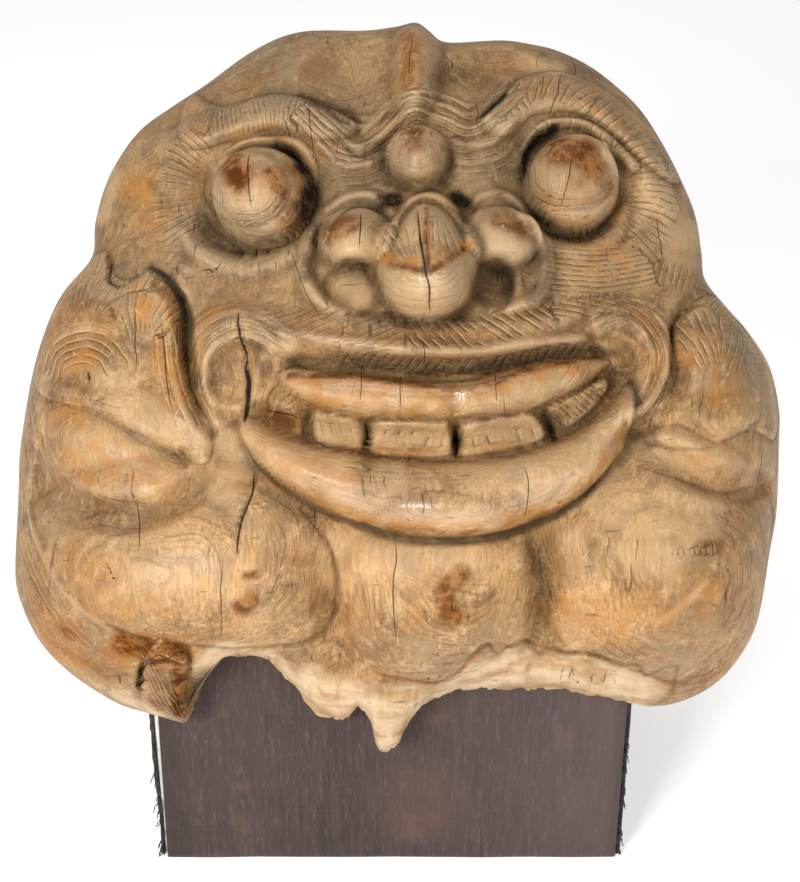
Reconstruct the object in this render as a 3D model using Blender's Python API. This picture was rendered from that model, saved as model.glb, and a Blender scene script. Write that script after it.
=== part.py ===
"""A carved wooden parade mask seated over a cloth-covered display block.

Units are metres and +Z is up. The face looks towards -Y and leans back. The model stands on
z = 0, with the middle of its footprint at the origin.
The carving is worked out in the mask's own frame: u across, v up the face, w out of the face.
"""

import math
from typing import NamedTuple

import bmesh
import bpy
import numpy as np
from mathutils import Matrix, Vector

# Driving dimensions of the mask
MASK_WIDTH = 0.500
MASK_HEIGHT = 0.466
FACE_DEPTH = 0.125
REAR_REACH = 0.060
WALL = 0.024
LEAN_BACK = math.radians(32.0)
FACE_ABOVE_TABLE = 0.247

# Driving dimensions of the display block
BLOCK_WIDTH = 0.308
BLOCK_ACROSS = -0.007
BLOCK_DEPTH = 0.210
FRONT_BOARD = 0.006
SIDE_CLOTH = 0.0025
CLOTH_LIP = 0.003
WHITE_EDGE = 0.004
FIT_GAP = 0.0003

# Counts of facets, which set how fine the solid is
FACE_CELLS = 64
HOLLOW_CELLS = 20
# Nothing narrower than this, or steeper than this power, is cut in the solid
FINEST = 0.0105
STEEPEST = 0.62

HALF_WIDE = MASK_WIDTH / 2
HALF_TALL = MASK_HEIGHT / 2
# The outline is drawn around this height on the face, a share of half the mask's height
CENTRE_UP = 0.10
# The lower rim is open to the block as far out as this share of half the width
OPEN_BELOW = 0.86
# The deepest groove takes this share of the wall
DEEPEST = 0.55
# The lower rim leans on the block up to this height on the face, below the mouth
SEAT_UP = -0.35


class Swell(NamedTuple):
    """A rounded rise, or a dent where rise is negative; all but power are shares."""

    across: float
    up: float
    half_wide: float
    half_tall: float
    rise: float
    power: float


class Ball(NamedTuple):
    """A bulging knob whose cap leans sideways by shares of its rise."""

    across: float
    up: float
    half_wide: float
    half_tall: float
    rise: float
    power: float
    lean_across: float
    lean_up: float


class Stroke(NamedTuple):
    """A ridge, or a groove where rise is negative, that follows a few points on the face."""

    rise: float
    half_wide: float
    taper: float
    points: tuple


# Edge of the mask, clockwise from the crown, as (across, up) shares of half the width and height
OUTLINE = (
    (0.045, 1.176), (0.081, 1.150), (0.125, 1.120), (0.268, 1.126), (0.349, 1.114),
    (0.414, 1.097), (0.496, 1.055), (0.569, 0.996), (0.635, 0.926), (0.695, 0.824),
    (0.742, 0.723), (0.776, 0.630), (0.792, 0.523), (0.800, 0.450), (0.858, 0.371),
    (0.915, 0.301), (0.970, 0.205), (0.994, 0.087), (0.994, 0.003), (0.986, -0.194),
    (0.976, -0.335), (0.936, -0.509), (0.889, -0.611), (0.816, -0.675), (0.737, -0.715),
    (0.637, -0.705), (0.560, -0.703), (0.477, -0.684), (0.367, -0.668), (0.280, -0.676),
    (0.185, -0.668), (0.077, -0.700), (0.045, -0.727), (0.012, -0.767), (-0.010, -0.815),
    (-0.055, -0.820), (-0.072, -0.740), (-0.112, -0.713), (-0.130, -0.748), (-0.205, -0.742),
    (-0.267, -0.665), (-0.310, -0.617), (-0.350, -0.582), (-0.440, -0.577), (-0.485, -0.600),
    (-0.505, -0.645), (-0.560, -0.735), (-0.595, -0.765), (-0.674, -0.755), (-0.768, -0.718),
    (-0.863, -0.653), (-0.942, -0.568), (-0.990, -0.453), (-1.000, -0.346), (-1.000, -0.082),
    (-0.990, 0.031), (-0.955, 0.228), (-0.894, 0.400), (-0.808, 0.515), (-0.798, 0.616),
    (-0.761, 0.746), (-0.687, 0.867), (-0.595, 0.962), (-0.501, 1.033), (-0.380, 1.100),
    (-0.260, 1.151), (-0.092, 1.154), (-0.010, 1.165),
)

# Rises are shares of the face's depth, half_wide of half the width, half_tall of half the height
SWELLS = (
    # Muzzle, then the nose: drop-shaped body, tip, and the pits of the nostrils
    Swell(0.06, 0.14, 0.62, 0.52, 0.30, 1.2),
    Swell(0.063, 0.445, 0.122, 0.160, 0.24, 0.55),
    Swell(0.060, 0.385, 0.100, 0.092, 0.10, 0.7),
    Swell(-0.104, 0.378, 0.074, 0.074, -0.07, 0.7),
    Swell(0.214, 0.394, 0.062, 0.066, -0.09, 0.8),
    # Hollows of the eye sockets
    Swell(-0.345, 0.620, 0.210, 0.200, -0.11, 1.0),
    Swell(0.415, 0.650, 0.200, 0.190, -0.11, 1.0),
    # Cheeks: upper lobes and round bulbs beside the mouth
    Swell(-0.700, 0.340, 0.240, 0.210, 0.14, 1.2),
    Swell(0.740, 0.310, 0.200, 0.200, 0.12, 1.2),
    Swell(-0.700, 0.020, 0.290, 0.250, 0.22, 1.1),
    Swell(0.745, 0.060, 0.250, 0.250, 0.22, 1.1),
    # Jowls and chin
    Swell(-0.540, -0.330, 0.440, 0.290, 0.22, 0.9),
    Swell(0.640, -0.300, 0.330, 0.330, 0.22, 0.9),
    Swell(0.100, -0.390, 0.240, 0.270, 0.18, 0.9),
    # Corners of the mouth
    Swell(-0.370, 0.140, 0.110, 0.120, -0.09, 1.0),
    Swell(0.520, 0.195, 0.110, 0.120, -0.08, 1.0),
    # Hollows on both sides of the crown's beak
    Swell(-0.110, 0.960, 0.150, 0.150, -0.10, 1.0),
    Swell(0.230, 0.950, 0.160, 0.130, -0.10, 1.0),
)

BALLS = (
    # Left eye, right eye, the knob on the forehead and the wings of the nose
    Ball(-0.328, 0.630, 0.123, 0.124, 0.34, 0.42, -0.16, 0.16),
    Ball(0.421, 0.668, 0.116, 0.124, 0.34, 0.42, 0.04, 0.16),
    Ball(0.043, 0.735, 0.080, 0.085, 0.18, 0.50, 0.00, 0.20),
    Ball(-0.105, 0.512, 0.092, 0.086, 0.20, 0.50, -0.05, 0.10),
    Ball(0.240, 0.518, 0.096, 0.086, 0.20, 0.50, 0.05, 0.10),
)

STROKES = (
    # Brow bands
    Stroke(0.13, 0.095, 0.5, ((-0.58, 0.80), (-0.46, 0.79), (-0.39, 0.80), (-0.30, 0.82),
                              (-0.22, 0.79), (-0.15, 0.745), (-0.08, 0.730))),
    Stroke(0.13, 0.095, 0.5, ((0.20, 0.780), (0.25, 0.84), (0.31, 0.87), (0.39, 0.875),
                              (0.46, 0.85), (0.53, 0.79), (0.60, 0.71), (0.66, 0.63))),
    # Ridges under the eyes
    Stroke(0.07, 0.036, 0.5, ((-0.529, 0.55), (-0.498, 0.500), (-0.42, 0.462), (-0.342, 0.459),
                              (-0.253, 0.490), (-0.21, 0.54))),
    Stroke(0.06, 0.034, 0.5, ((0.29, 0.56), (0.34, 0.515), (0.41, 0.500), (0.48, 0.515),
                              (0.53, 0.555), (0.56, 0.62))),
    # Bridge of the nose and the folds round its wings
    Stroke(0.06, 0.075, 0.3, ((0.045, 0.70), (0.055, 0.62), (0.063, 0.50))),
    Stroke(0.09, 0.026, 0.5, ((-0.165, 0.575), (-0.205, 0.545), (-0.222, 0.480), (-0.222, 0.409),
                              (-0.190, 0.355), (-0.130, 0.323))),
    Stroke(0.09, 0.026, 0.5, ((0.285, 0.575), (0.325, 0.545), (0.345, 0.480), (0.340, 0.415),
                              (0.317, 0.360), (0.253, 0.328))),
    # Moustache band, the rim under it and the groove above the lip
    Stroke(0.05, 0.040, 0.4, ((-0.325, 0.326), (-0.215, 0.290), (0.0, 0.275), (0.176, 0.270),
                              (0.263, 0.275), (0.350, 0.300), (0.421, 0.325))),
    Stroke(0.08, 0.026, 0.4, ((-0.273, 0.271), (-0.155, 0.247), (0.0, 0.227), (0.175, 0.220),
                              (0.262, 0.232), (0.348, 0.250), (0.433, 0.262))),
    Stroke(-0.07, 0.036, 0.4, ((-0.27, 0.200), (-0.16, 0.190), (0.0, 0.182), (0.117, 0.180),
                               (0.233, 0.190), (0.35, 0.212), (0.467, 0.222))),
    # Upper lip, the band of teeth and the thick lower lip
    Stroke(0.05, 0.060, 0.6, ((-0.28, 0.134), (-0.228, 0.120), (-0.137, 0.104), (0.0, 0.092),
                              (0.116, 0.090), (0.216, 0.104), (0.319, 0.137), (0.421, 0.173),
                              (0.480, 0.190))),
    Stroke(-0.09, 0.050, 0.5, ((-0.332, 0.081), (-0.227, 0.039), (-0.14, 0.016), (0.0, 0.002),
                               (0.135, 0.002), (0.275, 0.020), (0.374, 0.057), (0.468, 0.116))),
    Stroke(0.16, 0.100, 0.8, ((-0.365, 0.030), (-0.314, -0.027), (-0.228, -0.081),
                              (-0.114, -0.120), (0.0, -0.139), (0.116, -0.144), (0.232, -0.132),
                              (0.348, -0.096), (0.444, -0.027), (0.515, 0.065))),
    # Rings that curl out of the corners of the mouth
    Stroke(0.05, 0.060, 0.5, ((-0.50, 0.10), (-0.49, 0.21), (-0.43, 0.29), (-0.34, 0.29),
                              (-0.26, 0.25))),
    Stroke(0.05, 0.060, 0.5, ((0.46, 0.30), (0.54, 0.30), (0.60, 0.23), (0.60, 0.14),
                              (0.55, 0.06))),
    # Valleys round the cheeks
    Stroke(-0.06, 0.055, 0.4, ((-0.93, -0.02), (-0.885, -0.098), (-0.81, -0.157),
                               (-0.68, -0.187), (-0.553, -0.168), (-0.460, -0.088))),
    Stroke(-0.06, 0.055, 0.4, ((0.55, 0.00), (0.66, -0.06), (0.78, -0.110), (0.93, -0.118))),
    Stroke(-0.08, 0.030, 0.4, ((-0.60, 0.400), (-0.553, 0.355), (-0.540, 0.263),
                               (-0.528, 0.168), (-0.490, 0.070), (-0.455, 0.017))),
    Stroke(-0.06, 0.030, 0.4, ((0.72, 0.380), (0.68, 0.320), (0.68, 0.22), (0.66, 0.12),
                               (0.60, 0.03))),
    # Folds between the jowls and the chin
    Stroke(-0.04, 0.055, 0.4, ((-0.15, -0.20), (-0.165, -0.40), (-0.14, -0.64))),
    Stroke(-0.04, 0.055, 0.4, ((0.33, -0.20), (0.345, -0.40), (0.32, -0.62))),
    # Beak that runs down from the crown
    Stroke(0.16, 0.070, 0.4, ((0.045, 1.16), (0.040, 1.00), (0.030, 0.86))),
)


def make_material(name, colour, roughness):
    """A plain material in the colour and gloss of one sub-part."""
    material = bpy.data.materials.new(name)
    material.use_nodes = True
    shader = material.node_tree.nodes["Principled BSDF"]
    shader.inputs["Base Color"].default_value = (*colour, 1.0)
    shader.inputs["Roughness"].default_value = roughness
    shader.inputs["Metallic"].default_value = 0.0
    return material


def add_object(name, mesh_data, material):
    """Turn a finished bmesh into a named object with one material."""
    mesh = bpy.data.meshes.new(name)
    bmesh.ops.recalc_face_normals(mesh_data, faces=mesh_data.faces)
    mesh_data.to_mesh(mesh)
    mesh_data.free()
    mesh.materials.append(material)
    made = bpy.data.objects.new(name, mesh)
    bpy.context.scene.collection.objects.link(made)
    return made


def smooth_path(points, closed=False, steps=6):
    """Points of a Catmull-Rom curve through the given (across, up) shares, in metres."""
    ends = np.array(points) * (HALF_WIDE, HALF_TALL)
    if closed:
        line = np.concatenate([ends[-1:], ends, ends[:2]])
    else:
        line = np.concatenate([2 * ends[:1] - ends[1:2], ends, 2 * ends[-1:] - ends[-2:-1]])
    part = np.arange(steps)[:, None] / steps
    curve = []
    for before, start, end, after in zip(line, line[1:], line[2:], line[3:]):
        curve.append(0.5 * (
            2 * start + (end - before) * part
            + (2 * before - 5 * start + 4 * end - after) * part**2
            + (3 * start - before - 3 * end + after) * part**3
        ))
    if not closed:
        curve.append(ends[-1:])
    return np.concatenate(curve)


def smoothstep(value, low, high):
    """0 below low, 1 above high, and an even rise between them."""
    part = np.clip((value - low) / (high - low), 0.0, 1.0)
    return part * part * (3 - 2 * part)


class Edge:
    """The mask's outline as a radius at each angle, sharp as it is and smoothed."""

    samples = 1440

    def __init__(self):
        curve = smooth_path(OUTLINE, closed=True)[::-1]
        curve = curve - (0.0, CENTRE_UP * HALF_TALL)
        angle = np.unwrap(np.arctan2(curve[:, 1], curve[:, 0]))
        angle = np.maximum.accumulate(angle) + np.arange(len(angle)) * 1e-7
        radius = np.hypot(curve[:, 0], curve[:, 1])
        self.angle = np.linspace(-math.pi, math.pi, self.samples, endpoint=False)
        traced = np.interp(self.angle, angle, radius, period=2 * math.pi)
        self.sharp = self.rounded(traced, 120)
        self.soft = self.rounded(traced, 16)

    def rounded(self, radius, part):
        """The radii evened out over one part of the whole turn."""
        spread = np.cos(np.linspace(-math.pi, math.pi, self.samples // part)) + 1
        around = np.concatenate([radius, radius, radius])
        smooth = np.convolve(around, spread / spread.sum(), mode="same")
        return smooth[self.samples:2 * self.samples]

    def radius(self, angle, soft=False):
        """Distance from the outline's centre to the edge."""
        table = self.soft if soft else self.sharp
        return np.interp(angle, self.angle, table, period=2 * math.pi)


def fullness(angle):
    """Exponent of the face's section: round at the crown, square at the lower rim."""
    return 2.3 + 2.7 * smoothstep(-np.sin(angle), 0.2, 0.8)


def dome(share, angle):
    """Height of the plain face, with nothing carved, at a share of the way to its edge."""
    power = fullness(angle)
    return FACE_DEPTH * np.clip(1 - share**power, 0.0, 1.0) ** (1 / power)


def distance_to_path(u, v, path):
    """Distance from each point to a path, and how far along it the nearest place is."""
    nearest = np.full(u.shape, np.inf)
    along = np.zeros(u.shape)
    steps = np.hypot(*np.diff(path, axis=0).T)
    done = np.concatenate([[0.0], np.cumsum(steps)])
    for index, (start, end) in enumerate(zip(path, path[1:])):
        run = end - start
        part = ((u - start[0]) * run[0] + (v - start[1]) * run[1]) / max(run @ run, 1e-12)
        part = np.clip(part, 0.0, 1.0)
        gap = np.hypot(u - start[0] - part * run[0], v - start[1] - part * run[1])
        closer = gap < nearest
        nearest = np.where(closer, gap, nearest)
        along = np.where(closer, (done[index] + part * steps[index]) / done[-1], along)
    return nearest, along


def oval(u, v, across, up, half_wide, half_tall):
    """Squared distance from an oval's centre, 1 on its edge."""
    du = u / HALF_WIDE - across
    dv = v / HALF_TALL - up
    return (du / half_wide) ** 2 + (dv / half_tall) ** 2


def carve(u, v):
    """How far the carving stands out of the plain face, and how far it leans to the side."""
    rise = np.zeros(u.shape)
    for row in SWELLS:
        inside = np.clip(1 - oval(u, v, *row[:4]), 0.0, 1.0)
        rise += row.rise * FACE_DEPTH * inside ** max(row.power, STEEPEST)
    for row in STROKES:
        path = smooth_path(row.points)
        gap, along = distance_to_path(u, v, path)
        narrowed = 1 - row.taper * np.abs(2 * along - 1) ** 3
        half_wide = max(row.half_wide * HALF_WIDE, FINEST) * narrowed
        share = np.clip(gap / half_wide, 0.0, 1.0)
        rise += row.rise * FACE_DEPTH * narrowed * (1 - share**2) ** 1.2
    lean_u = np.zeros(u.shape)
    lean_v = np.zeros(u.shape)
    for row in BALLS:
        inside = np.clip(1 - oval(u, v, *row[:4]), 0.0, 1.0) ** max(row.power, STEEPEST)
        rise += row.rise * FACE_DEPTH * inside
        lean_u += row.lean_across * row.rise * FACE_DEPTH * inside
        lean_v += row.lean_up * row.rise * FACE_DEPTH * inside
    return rise, lean_u, lean_v


def grid_to_disc(cells):
    """A square grid bent into a round one: the bmesh, and each vertex's radius and angle."""
    grid = bmesh.new()
    bmesh.ops.create_grid(grid, x_segments=cells, y_segments=cells, size=1.0)
    grid.verts.ensure_lookup_table()
    flat = np.array([vertex.co[:2] for vertex in grid.verts])
    x = flat[:, 0] * np.sqrt(1 - flat[:, 1] ** 2 / 2)
    y = flat[:, 1] * np.sqrt(1 - flat[:, 0] ** 2 / 2)
    return grid, np.clip(np.hypot(x, y), 0.0, 1.0), np.arctan2(y, x)


def place(mesh_data, points):
    """Move every vertex to its own (u, v, w)."""
    for vertex, point in zip(mesh_data.verts, points):
        vertex.co = point


def close_behind(mesh_data, steps):
    """Draw the open border straight back, in rings of (w, scale), and close it with a flat."""
    border = [edge for edge in mesh_data.edges if edge.is_boundary]
    for depth, scale in steps:
        made = bmesh.ops.extrude_edge_only(mesh_data, edges=border)["geom"]
        border = [item for item in made if isinstance(item, bmesh.types.BMEdge)
                  and item.is_boundary]
        for vertex in {end for edge in border for end in edge.verts}:
            vertex.co = (vertex.co.x * scale, vertex.co.y * scale, depth)
    bmesh.ops.edgeloop_fill(mesh_data, edges=border)
    bmesh.ops.triangulate(mesh_data, faces=mesh_data.faces)


def build_face(edge):
    """The carved block of wood before it is hollowed, in the mask's own frame."""
    mesh_data, ring, angle = grid_to_disc(FACE_CELLS)
    share = ring * (1.3 - 0.3 * ring**2)
    soft = edge.radius(angle, soft=True)
    # The pegs and notches of the outline shape only the outermost rings
    radius = share * (soft + (edge.radius(angle) - soft) * smoothstep(ring, 0.70, 1.0))
    u = radius * np.cos(angle)
    v = radius * np.sin(angle) + CENTRE_UP * HALF_TALL
    near_edge = smoothstep(ring, 0.80, 1.0)
    soft_share = np.clip(radius / soft, 0.0, 1.0)
    height = dome(soft_share + (share - soft_share) * near_edge, angle)
    rise, lean_u, lean_v = carve(u, v)
    fade = 1 - smoothstep(ring, 0.86, 1.0)
    rise = np.maximum(rise, -DEEPEST * WALL)
    points = np.stack([u + lean_u, v + lean_v, height + rise * fade], axis=1)
    place(mesh_data, points)
    inner = [vertex for vertex in mesh_data.verts if not vertex.is_boundary]
    bmesh.ops.smooth_vert(mesh_data, verts=inner, factor=0.5, use_axis_x=True,
                          use_axis_y=True, use_axis_z=True)
    close_behind(mesh_data, ((-REAR_REACH, 0.97),))
    return mesh_data


def build_hollow(edge):
    """The space inside the mask: a wall's thickness in from the face, open behind and below."""
    mesh_data, ring, angle = grid_to_disc(HOLLOW_CELLS)
    rim_across = np.abs(edge.radius(angle, soft=True) * np.cos(angle)) / HALF_WIDE
    opened = (np.sin(angle) < 0) * (1 - smoothstep(rim_across, OPEN_BELOW, OPEN_BELOW + 0.10))
    reach = edge.radius(angle, soft=True) - WALL
    reach = reach + opened * (0.5 * HALF_TALL + WALL)
    radius = ring * reach
    u = radius * np.cos(angle)
    v = radius * np.sin(angle) + CENTRE_UP * HALF_TALL
    share = np.clip(radius / edge.radius(angle, soft=True), 0.0, 0.97)
    place(mesh_data, np.stack([u, v, dome(share, angle) - WALL], axis=1))
    close_behind(mesh_data, ((-REAR_REACH - WALL, 1.0),))
    return mesh_data


def make_mask(material):
    """The mask: the carved face less its hollow, leaning back over the table."""
    edge = Edge()
    mask = add_object("mask_shell", build_face(edge), material)
    hollow = add_object("hollow_cutter", build_hollow(edge), material)
    hollow.hide_render = True
    hollow.display_type = "WIRE"
    # u, v and w become X, the leaning up direction and the leaning forward direction
    turn = Matrix((
        (1.0, 0.0, 0.0, 0.0),
        (0.0, math.sin(LEAN_BACK), -math.cos(LEAN_BACK), 0.0),
        (0.0, math.cos(LEAN_BACK), math.sin(LEAN_BACK), FACE_ABOVE_TABLE),
        (0.0, 0.0, 0.0, 1.0),
    ))
    for item in (mask, hollow):
        item.data.transform(turn)
    cut = mask.modifiers.new("hollow", "BOOLEAN")
    cut.operation = "DIFFERENCE"
    cut.solver = "EXACT"
    cut.object = hollow
    return mask


def finished_faces(mask):
    """The finished mask's faces in world space, each as its corners and its normal."""
    bpy.context.view_layer.update()
    evaluated = mask.evaluated_get(bpy.context.evaluated_depsgraph_get())
    mesh = evaluated.to_mesh()
    points = [mask.matrix_world @ vertex.co for vertex in mesh.vertices]
    faces = [([points[index] for index in face.vertices], face.normal.copy())
             for face in mesh.polygons]
    evaluated.to_mesh_clear()
    return faces


def trimmed(corners, axis, limit, keep):
    """The part of a face where its axis coordinate is above (keep 1) or below (keep -1)."""
    kept = []
    for start, end in zip(corners, corners[1:] + corners[:1]):
        before = (start[axis] - limit) * keep
        after = (end[axis] - limit) * keep
        if before >= 0:
            kept.append(start)
        if before * after < 0:
            kept.append(start.lerp(end, before / (before - after)))
    return kept


def walls_within(faces, facing, limits):
    """Corners of the faces that look along an axis, cut to limits of (axis, value, keep)."""
    axis, sign = facing
    found = []
    for corners, normal in faces:
        if normal[axis] * sign <= 0:
            continue
        for limit in limits:
            corners = trimmed(corners, *limit) if corners else corners
        found += corners
    return found


def seat_block(faces):
    """Front plane and height of the block, so that the mask hangs on it and leans on it."""
    half = BLOCK_WIDTH / 2 + FIT_GAP
    sides = ((0, BLOCK_ACROSS - half, 1), (0, BLOCK_ACROSS + half, -1))
    # The lower rim leans on the block's front, up to the height of the lower lip
    lip = FACE_ABOVE_TABLE + SEAT_UP * HALF_TALL * math.cos(LEAN_BACK)
    rim = walls_within(faces, (1, 1), (*sides, (2, lip, -1)))
    front = max(point.y for point in rim) + FIT_GAP
    # The face hangs on the block's top edge
    room = (*sides, (1, front - FIT_GAP, 1), (1, front + BLOCK_DEPTH + FIT_GAP, -1))
    roof = walls_within(faces, (2, -1), (*room, (2, lip, 1)))
    top = min(point.z for point in roof) - FIT_GAP
    return front, top


def add_box(name, low, high, material):
    """A box between two corners."""
    mesh_data = bmesh.new()
    bmesh.ops.create_cube(mesh_data, size=1.0)
    size = [far - near for near, far in zip(low, high)]
    middle = [(far + near) / 2 for near, far in zip(low, high)]
    bmesh.ops.scale(mesh_data, vec=size, verts=mesh_data.verts)
    bmesh.ops.translate(mesh_data, vec=middle, verts=mesh_data.verts)
    return add_object(name, mesh_data, material)


def make_block(front, top, cloth, lining, white):
    """The display block: a white core, its front board of cloth and the dark cloth round it."""
    left = BLOCK_ACROSS - BLOCK_WIDTH / 2
    right = BLOCK_ACROSS + BLOCK_WIDTH / 2
    core_left = left + SIDE_CLOTH + FIT_GAP
    core_right = right - SIDE_CLOTH - FIT_GAP
    core_front = front + FRONT_BOARD + FIT_GAP
    back = front + BLOCK_DEPTH
    core = add_box("block_core", (core_left, core_front, 0.0),
                   (core_right, back - SIDE_CLOTH - FIT_GAP, top), white)
    panel = add_box("block_front_cloth", (core_left + WHITE_EDGE, front, 0.0),
                    (core_right - FIT_GAP, front + FRONT_BOARD, top - CLOTH_LIP), cloth)
    # The side cloth is a band round three sides, drawn from its plan and raised
    plan = (
        (left, core_front - CLOTH_LIP), (left, back), (right, back),
        (right, core_front - CLOTH_LIP), (right - SIDE_CLOTH, core_front - CLOTH_LIP),
        (right - SIDE_CLOTH, back - SIDE_CLOTH), (left + SIDE_CLOTH, back - SIDE_CLOTH),
        (left + SIDE_CLOTH, core_front - CLOTH_LIP),
    )
    band = bmesh.new()
    corners = [band.verts.new((x, y, 0.0)) for x, y in plan]
    band.faces.new(corners)
    raised = bmesh.ops.extrude_face_region(band, geom=band.faces[:])["geom"]
    bmesh.ops.translate(band, vec=(0, 0, top - CLOTH_LIP),
                        verts=[item for item in raised if isinstance(item, bmesh.types.BMVert)])
    side = add_object("block_side_cloth", band, lining)
    return [core, panel, side]


def main():
    """Clear the scene, carve the mask, fit the block inside it and centre the footprint."""
    for old in list(bpy.data.objects):
        bpy.data.objects.remove(old, do_unlink=True)
    wood = make_material("aged_wood", (0.36, 0.24, 0.14), 0.55)
    cloth = make_material("brown_cloth", (0.16, 0.10, 0.085), 0.95)
    lining = make_material("black_cloth", (0.015, 0.013, 0.015), 0.95)
    white = make_material("white_board", (0.75, 0.74, 0.70), 0.85)
    mask = make_mask(wood)
    pieces = [mask, bpy.data.objects["hollow_cutter"]]
    faces = finished_faces(mask)
    pieces += make_block(*seat_block(faces), cloth, lining, white)
    points = [corner for corners, _ in faces for corner in corners]
    ends = [point.y for point in points]
    ends += [vertex.co.y for piece in pieces[2:] for vertex in piece.data.vertices]
    across = [point.x for point in points]
    middle = Vector(((min(across) + max(across)) / 2, (min(ends) + max(ends)) / 2, 0.0))
    origin = bpy.data.objects.new("display_origin", None)
    bpy.context.scene.collection.objects.link(origin)
    origin.location = -middle
    for piece in pieces:
        piece.parent = origin
    for face in mask.data.polygons:
        face.use_smooth = True
    mask.data.set_sharp_from_angle(angle=math.radians(50))


main()
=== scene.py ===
"""The looks of a carved wooden parade mask seated over a cloth-covered display block.

Lengths are metres and +Z is up. The mask is carved in its own frame: u across the face, v up
the face and w out of the face. The frame leans back over the table. Points are listed as
x, y, x, y and so on.
"""

import logging
import math
from dataclasses import dataclass, field
from enum import Enum

import bmesh
import bpy
import numpy as np
from mathutils import Matrix, Vector


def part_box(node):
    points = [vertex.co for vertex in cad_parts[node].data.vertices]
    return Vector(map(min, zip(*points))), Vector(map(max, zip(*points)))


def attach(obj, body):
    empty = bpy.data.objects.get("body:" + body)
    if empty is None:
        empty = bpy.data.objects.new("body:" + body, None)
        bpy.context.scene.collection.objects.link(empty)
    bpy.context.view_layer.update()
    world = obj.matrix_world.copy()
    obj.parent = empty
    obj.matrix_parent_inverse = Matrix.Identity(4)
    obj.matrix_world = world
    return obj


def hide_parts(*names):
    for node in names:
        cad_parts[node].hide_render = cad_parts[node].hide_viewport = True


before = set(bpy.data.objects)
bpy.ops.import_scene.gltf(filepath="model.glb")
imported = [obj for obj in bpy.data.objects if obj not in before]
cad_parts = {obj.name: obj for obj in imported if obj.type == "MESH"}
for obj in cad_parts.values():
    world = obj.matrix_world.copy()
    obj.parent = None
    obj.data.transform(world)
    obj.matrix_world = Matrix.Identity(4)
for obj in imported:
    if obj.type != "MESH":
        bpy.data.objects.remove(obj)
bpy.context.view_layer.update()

LOG = logging.getLogger("parade_mask")
Array = np.ndarray
BMesh = bmesh.types.BMesh
Socket = bpy.types.NodeSocket
Tree = bpy.types.NodeTree


class Mark(Enum):
    """What age and use have left on a place of the wood, and the shadows and highlights painted on it."""

    # Stains, and painted shade on the right side of the left eye's ball
    STAIN_AND_SHADE = "stain_and_shade"
    AMBER = "amber"
    # Painted shadow, near black, in the deep pits and sockets
    PAINTED_SHADOW = "shadow_black"
    # Pale wear, and painted highlights on the right eye and the tip of the nose
    PALE = "pale"
    RAW = "raw"
    POLISH = "polish"


@dataclass(frozen=True)
class Swell:
    """A rounded rise of the face, or a dent where rise is negative, in shares."""

    across: float
    up: float
    half_wide: float
    half_tall: float
    rise: float
    power: float


@dataclass(frozen=True)
class Ball:
    """A bulging knob whose cap leans sideways by shares of its rise."""

    across: float
    up: float
    half_wide: float
    half_tall: float
    rise: float
    power: float
    lean_across: float
    lean_up: float


@dataclass(frozen=True)
class Stroke:
    """A ridge, or a groove where rise is negative, along (across, up) shares."""

    rise: float
    half_wide: float
    taper: float
    points: tuple


@dataclass(frozen=True)
class Plate:
    """A raised piece of carving with a closed outline of (x, y) places of the front view.

    Its edge rises over a soft width, steeply for a low power. Lengths are metres.
    """

    rise: float
    soft: float
    power: float
    points: tuple


@dataclass(frozen=True)
class Cut:
    """A fine ridge or groove along (x, y) places of the front view.

    Its rise is in metres, and its half_wide in pixels of the view.
    """

    rise: float
    half_wide: float
    taper: float
    points: tuple


@dataclass(frozen=True)
class Band:
    """Parallel hair or wrinkle lines along (x, y) places of the front view.

    Its half_wide and spacing are pixels of the view, and its depth is a share of the full one.
    A slant of 0 draws the lines square to the path, and 90 draws them along it.
    """

    half_wide: float
    spacing: float
    slant: float
    depth: float
    points: tuple


@dataclass(frozen=True)
class Trace:
    """A mark of age along (x, y) places of the front view; half_wide in pixels of it."""

    half_wide: float
    strength: float
    points: tuple


@dataclass(frozen=True)
class Check:
    """A drying crack along (x, y) places of the front view; width in pixels of it."""

    width: float
    points: tuple


OUTLINE = (
    0.045, 1.176, 0.081, 1.150, 0.125, 1.120, 0.268, 1.126, 0.349, 1.114, 0.414, 1.097, 0.496, 1.055,
    0.569, 0.996, 0.635, 0.926, 0.695, 0.824, 0.742, 0.723, 0.776, 0.630, 0.792, 0.523, 0.800, 0.450,
    0.858, 0.371, 0.915, 0.301, 0.970, 0.205, 0.994, 0.087, 0.994, 0.003, 0.986, -0.194, 0.956, -0.327,
    0.922, -0.474, 0.888, -0.556, 0.822, -0.643, 0.749, -0.694, 0.655, -0.722, 0.560, -0.703,
    0.477, -0.684, 0.367, -0.668, 0.280, -0.676, 0.185, -0.668, 0.077, -0.700, 0.045, -0.727,
    0.008, -0.785, -0.006, -0.828, -0.058, -0.834, -0.076, -0.755, -0.112, -0.713, -0.130, -0.748,
    -0.205, -0.742, -0.267, -0.665, -0.310, -0.617, -0.350, -0.582, -0.440, -0.577, -0.485, -0.600,
    -0.505, -0.645, -0.560, -0.735, -0.595, -0.765, -0.665, -0.738, -0.750, -0.693, -0.842, -0.630,
    -0.920, -0.552, -0.978, -0.445, -1.000, -0.346, -1.000, -0.082, -0.990, 0.031, -0.955, 0.228,
    -0.894, 0.400, -0.808, 0.515, -0.798, 0.616, -0.761, 0.746, -0.687, 0.867, -0.600, 0.938,
    -0.508, 1.002, -0.380, 1.100, -0.260, 1.151, -0.092, 1.154, -0.010, 1.165,
)

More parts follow.
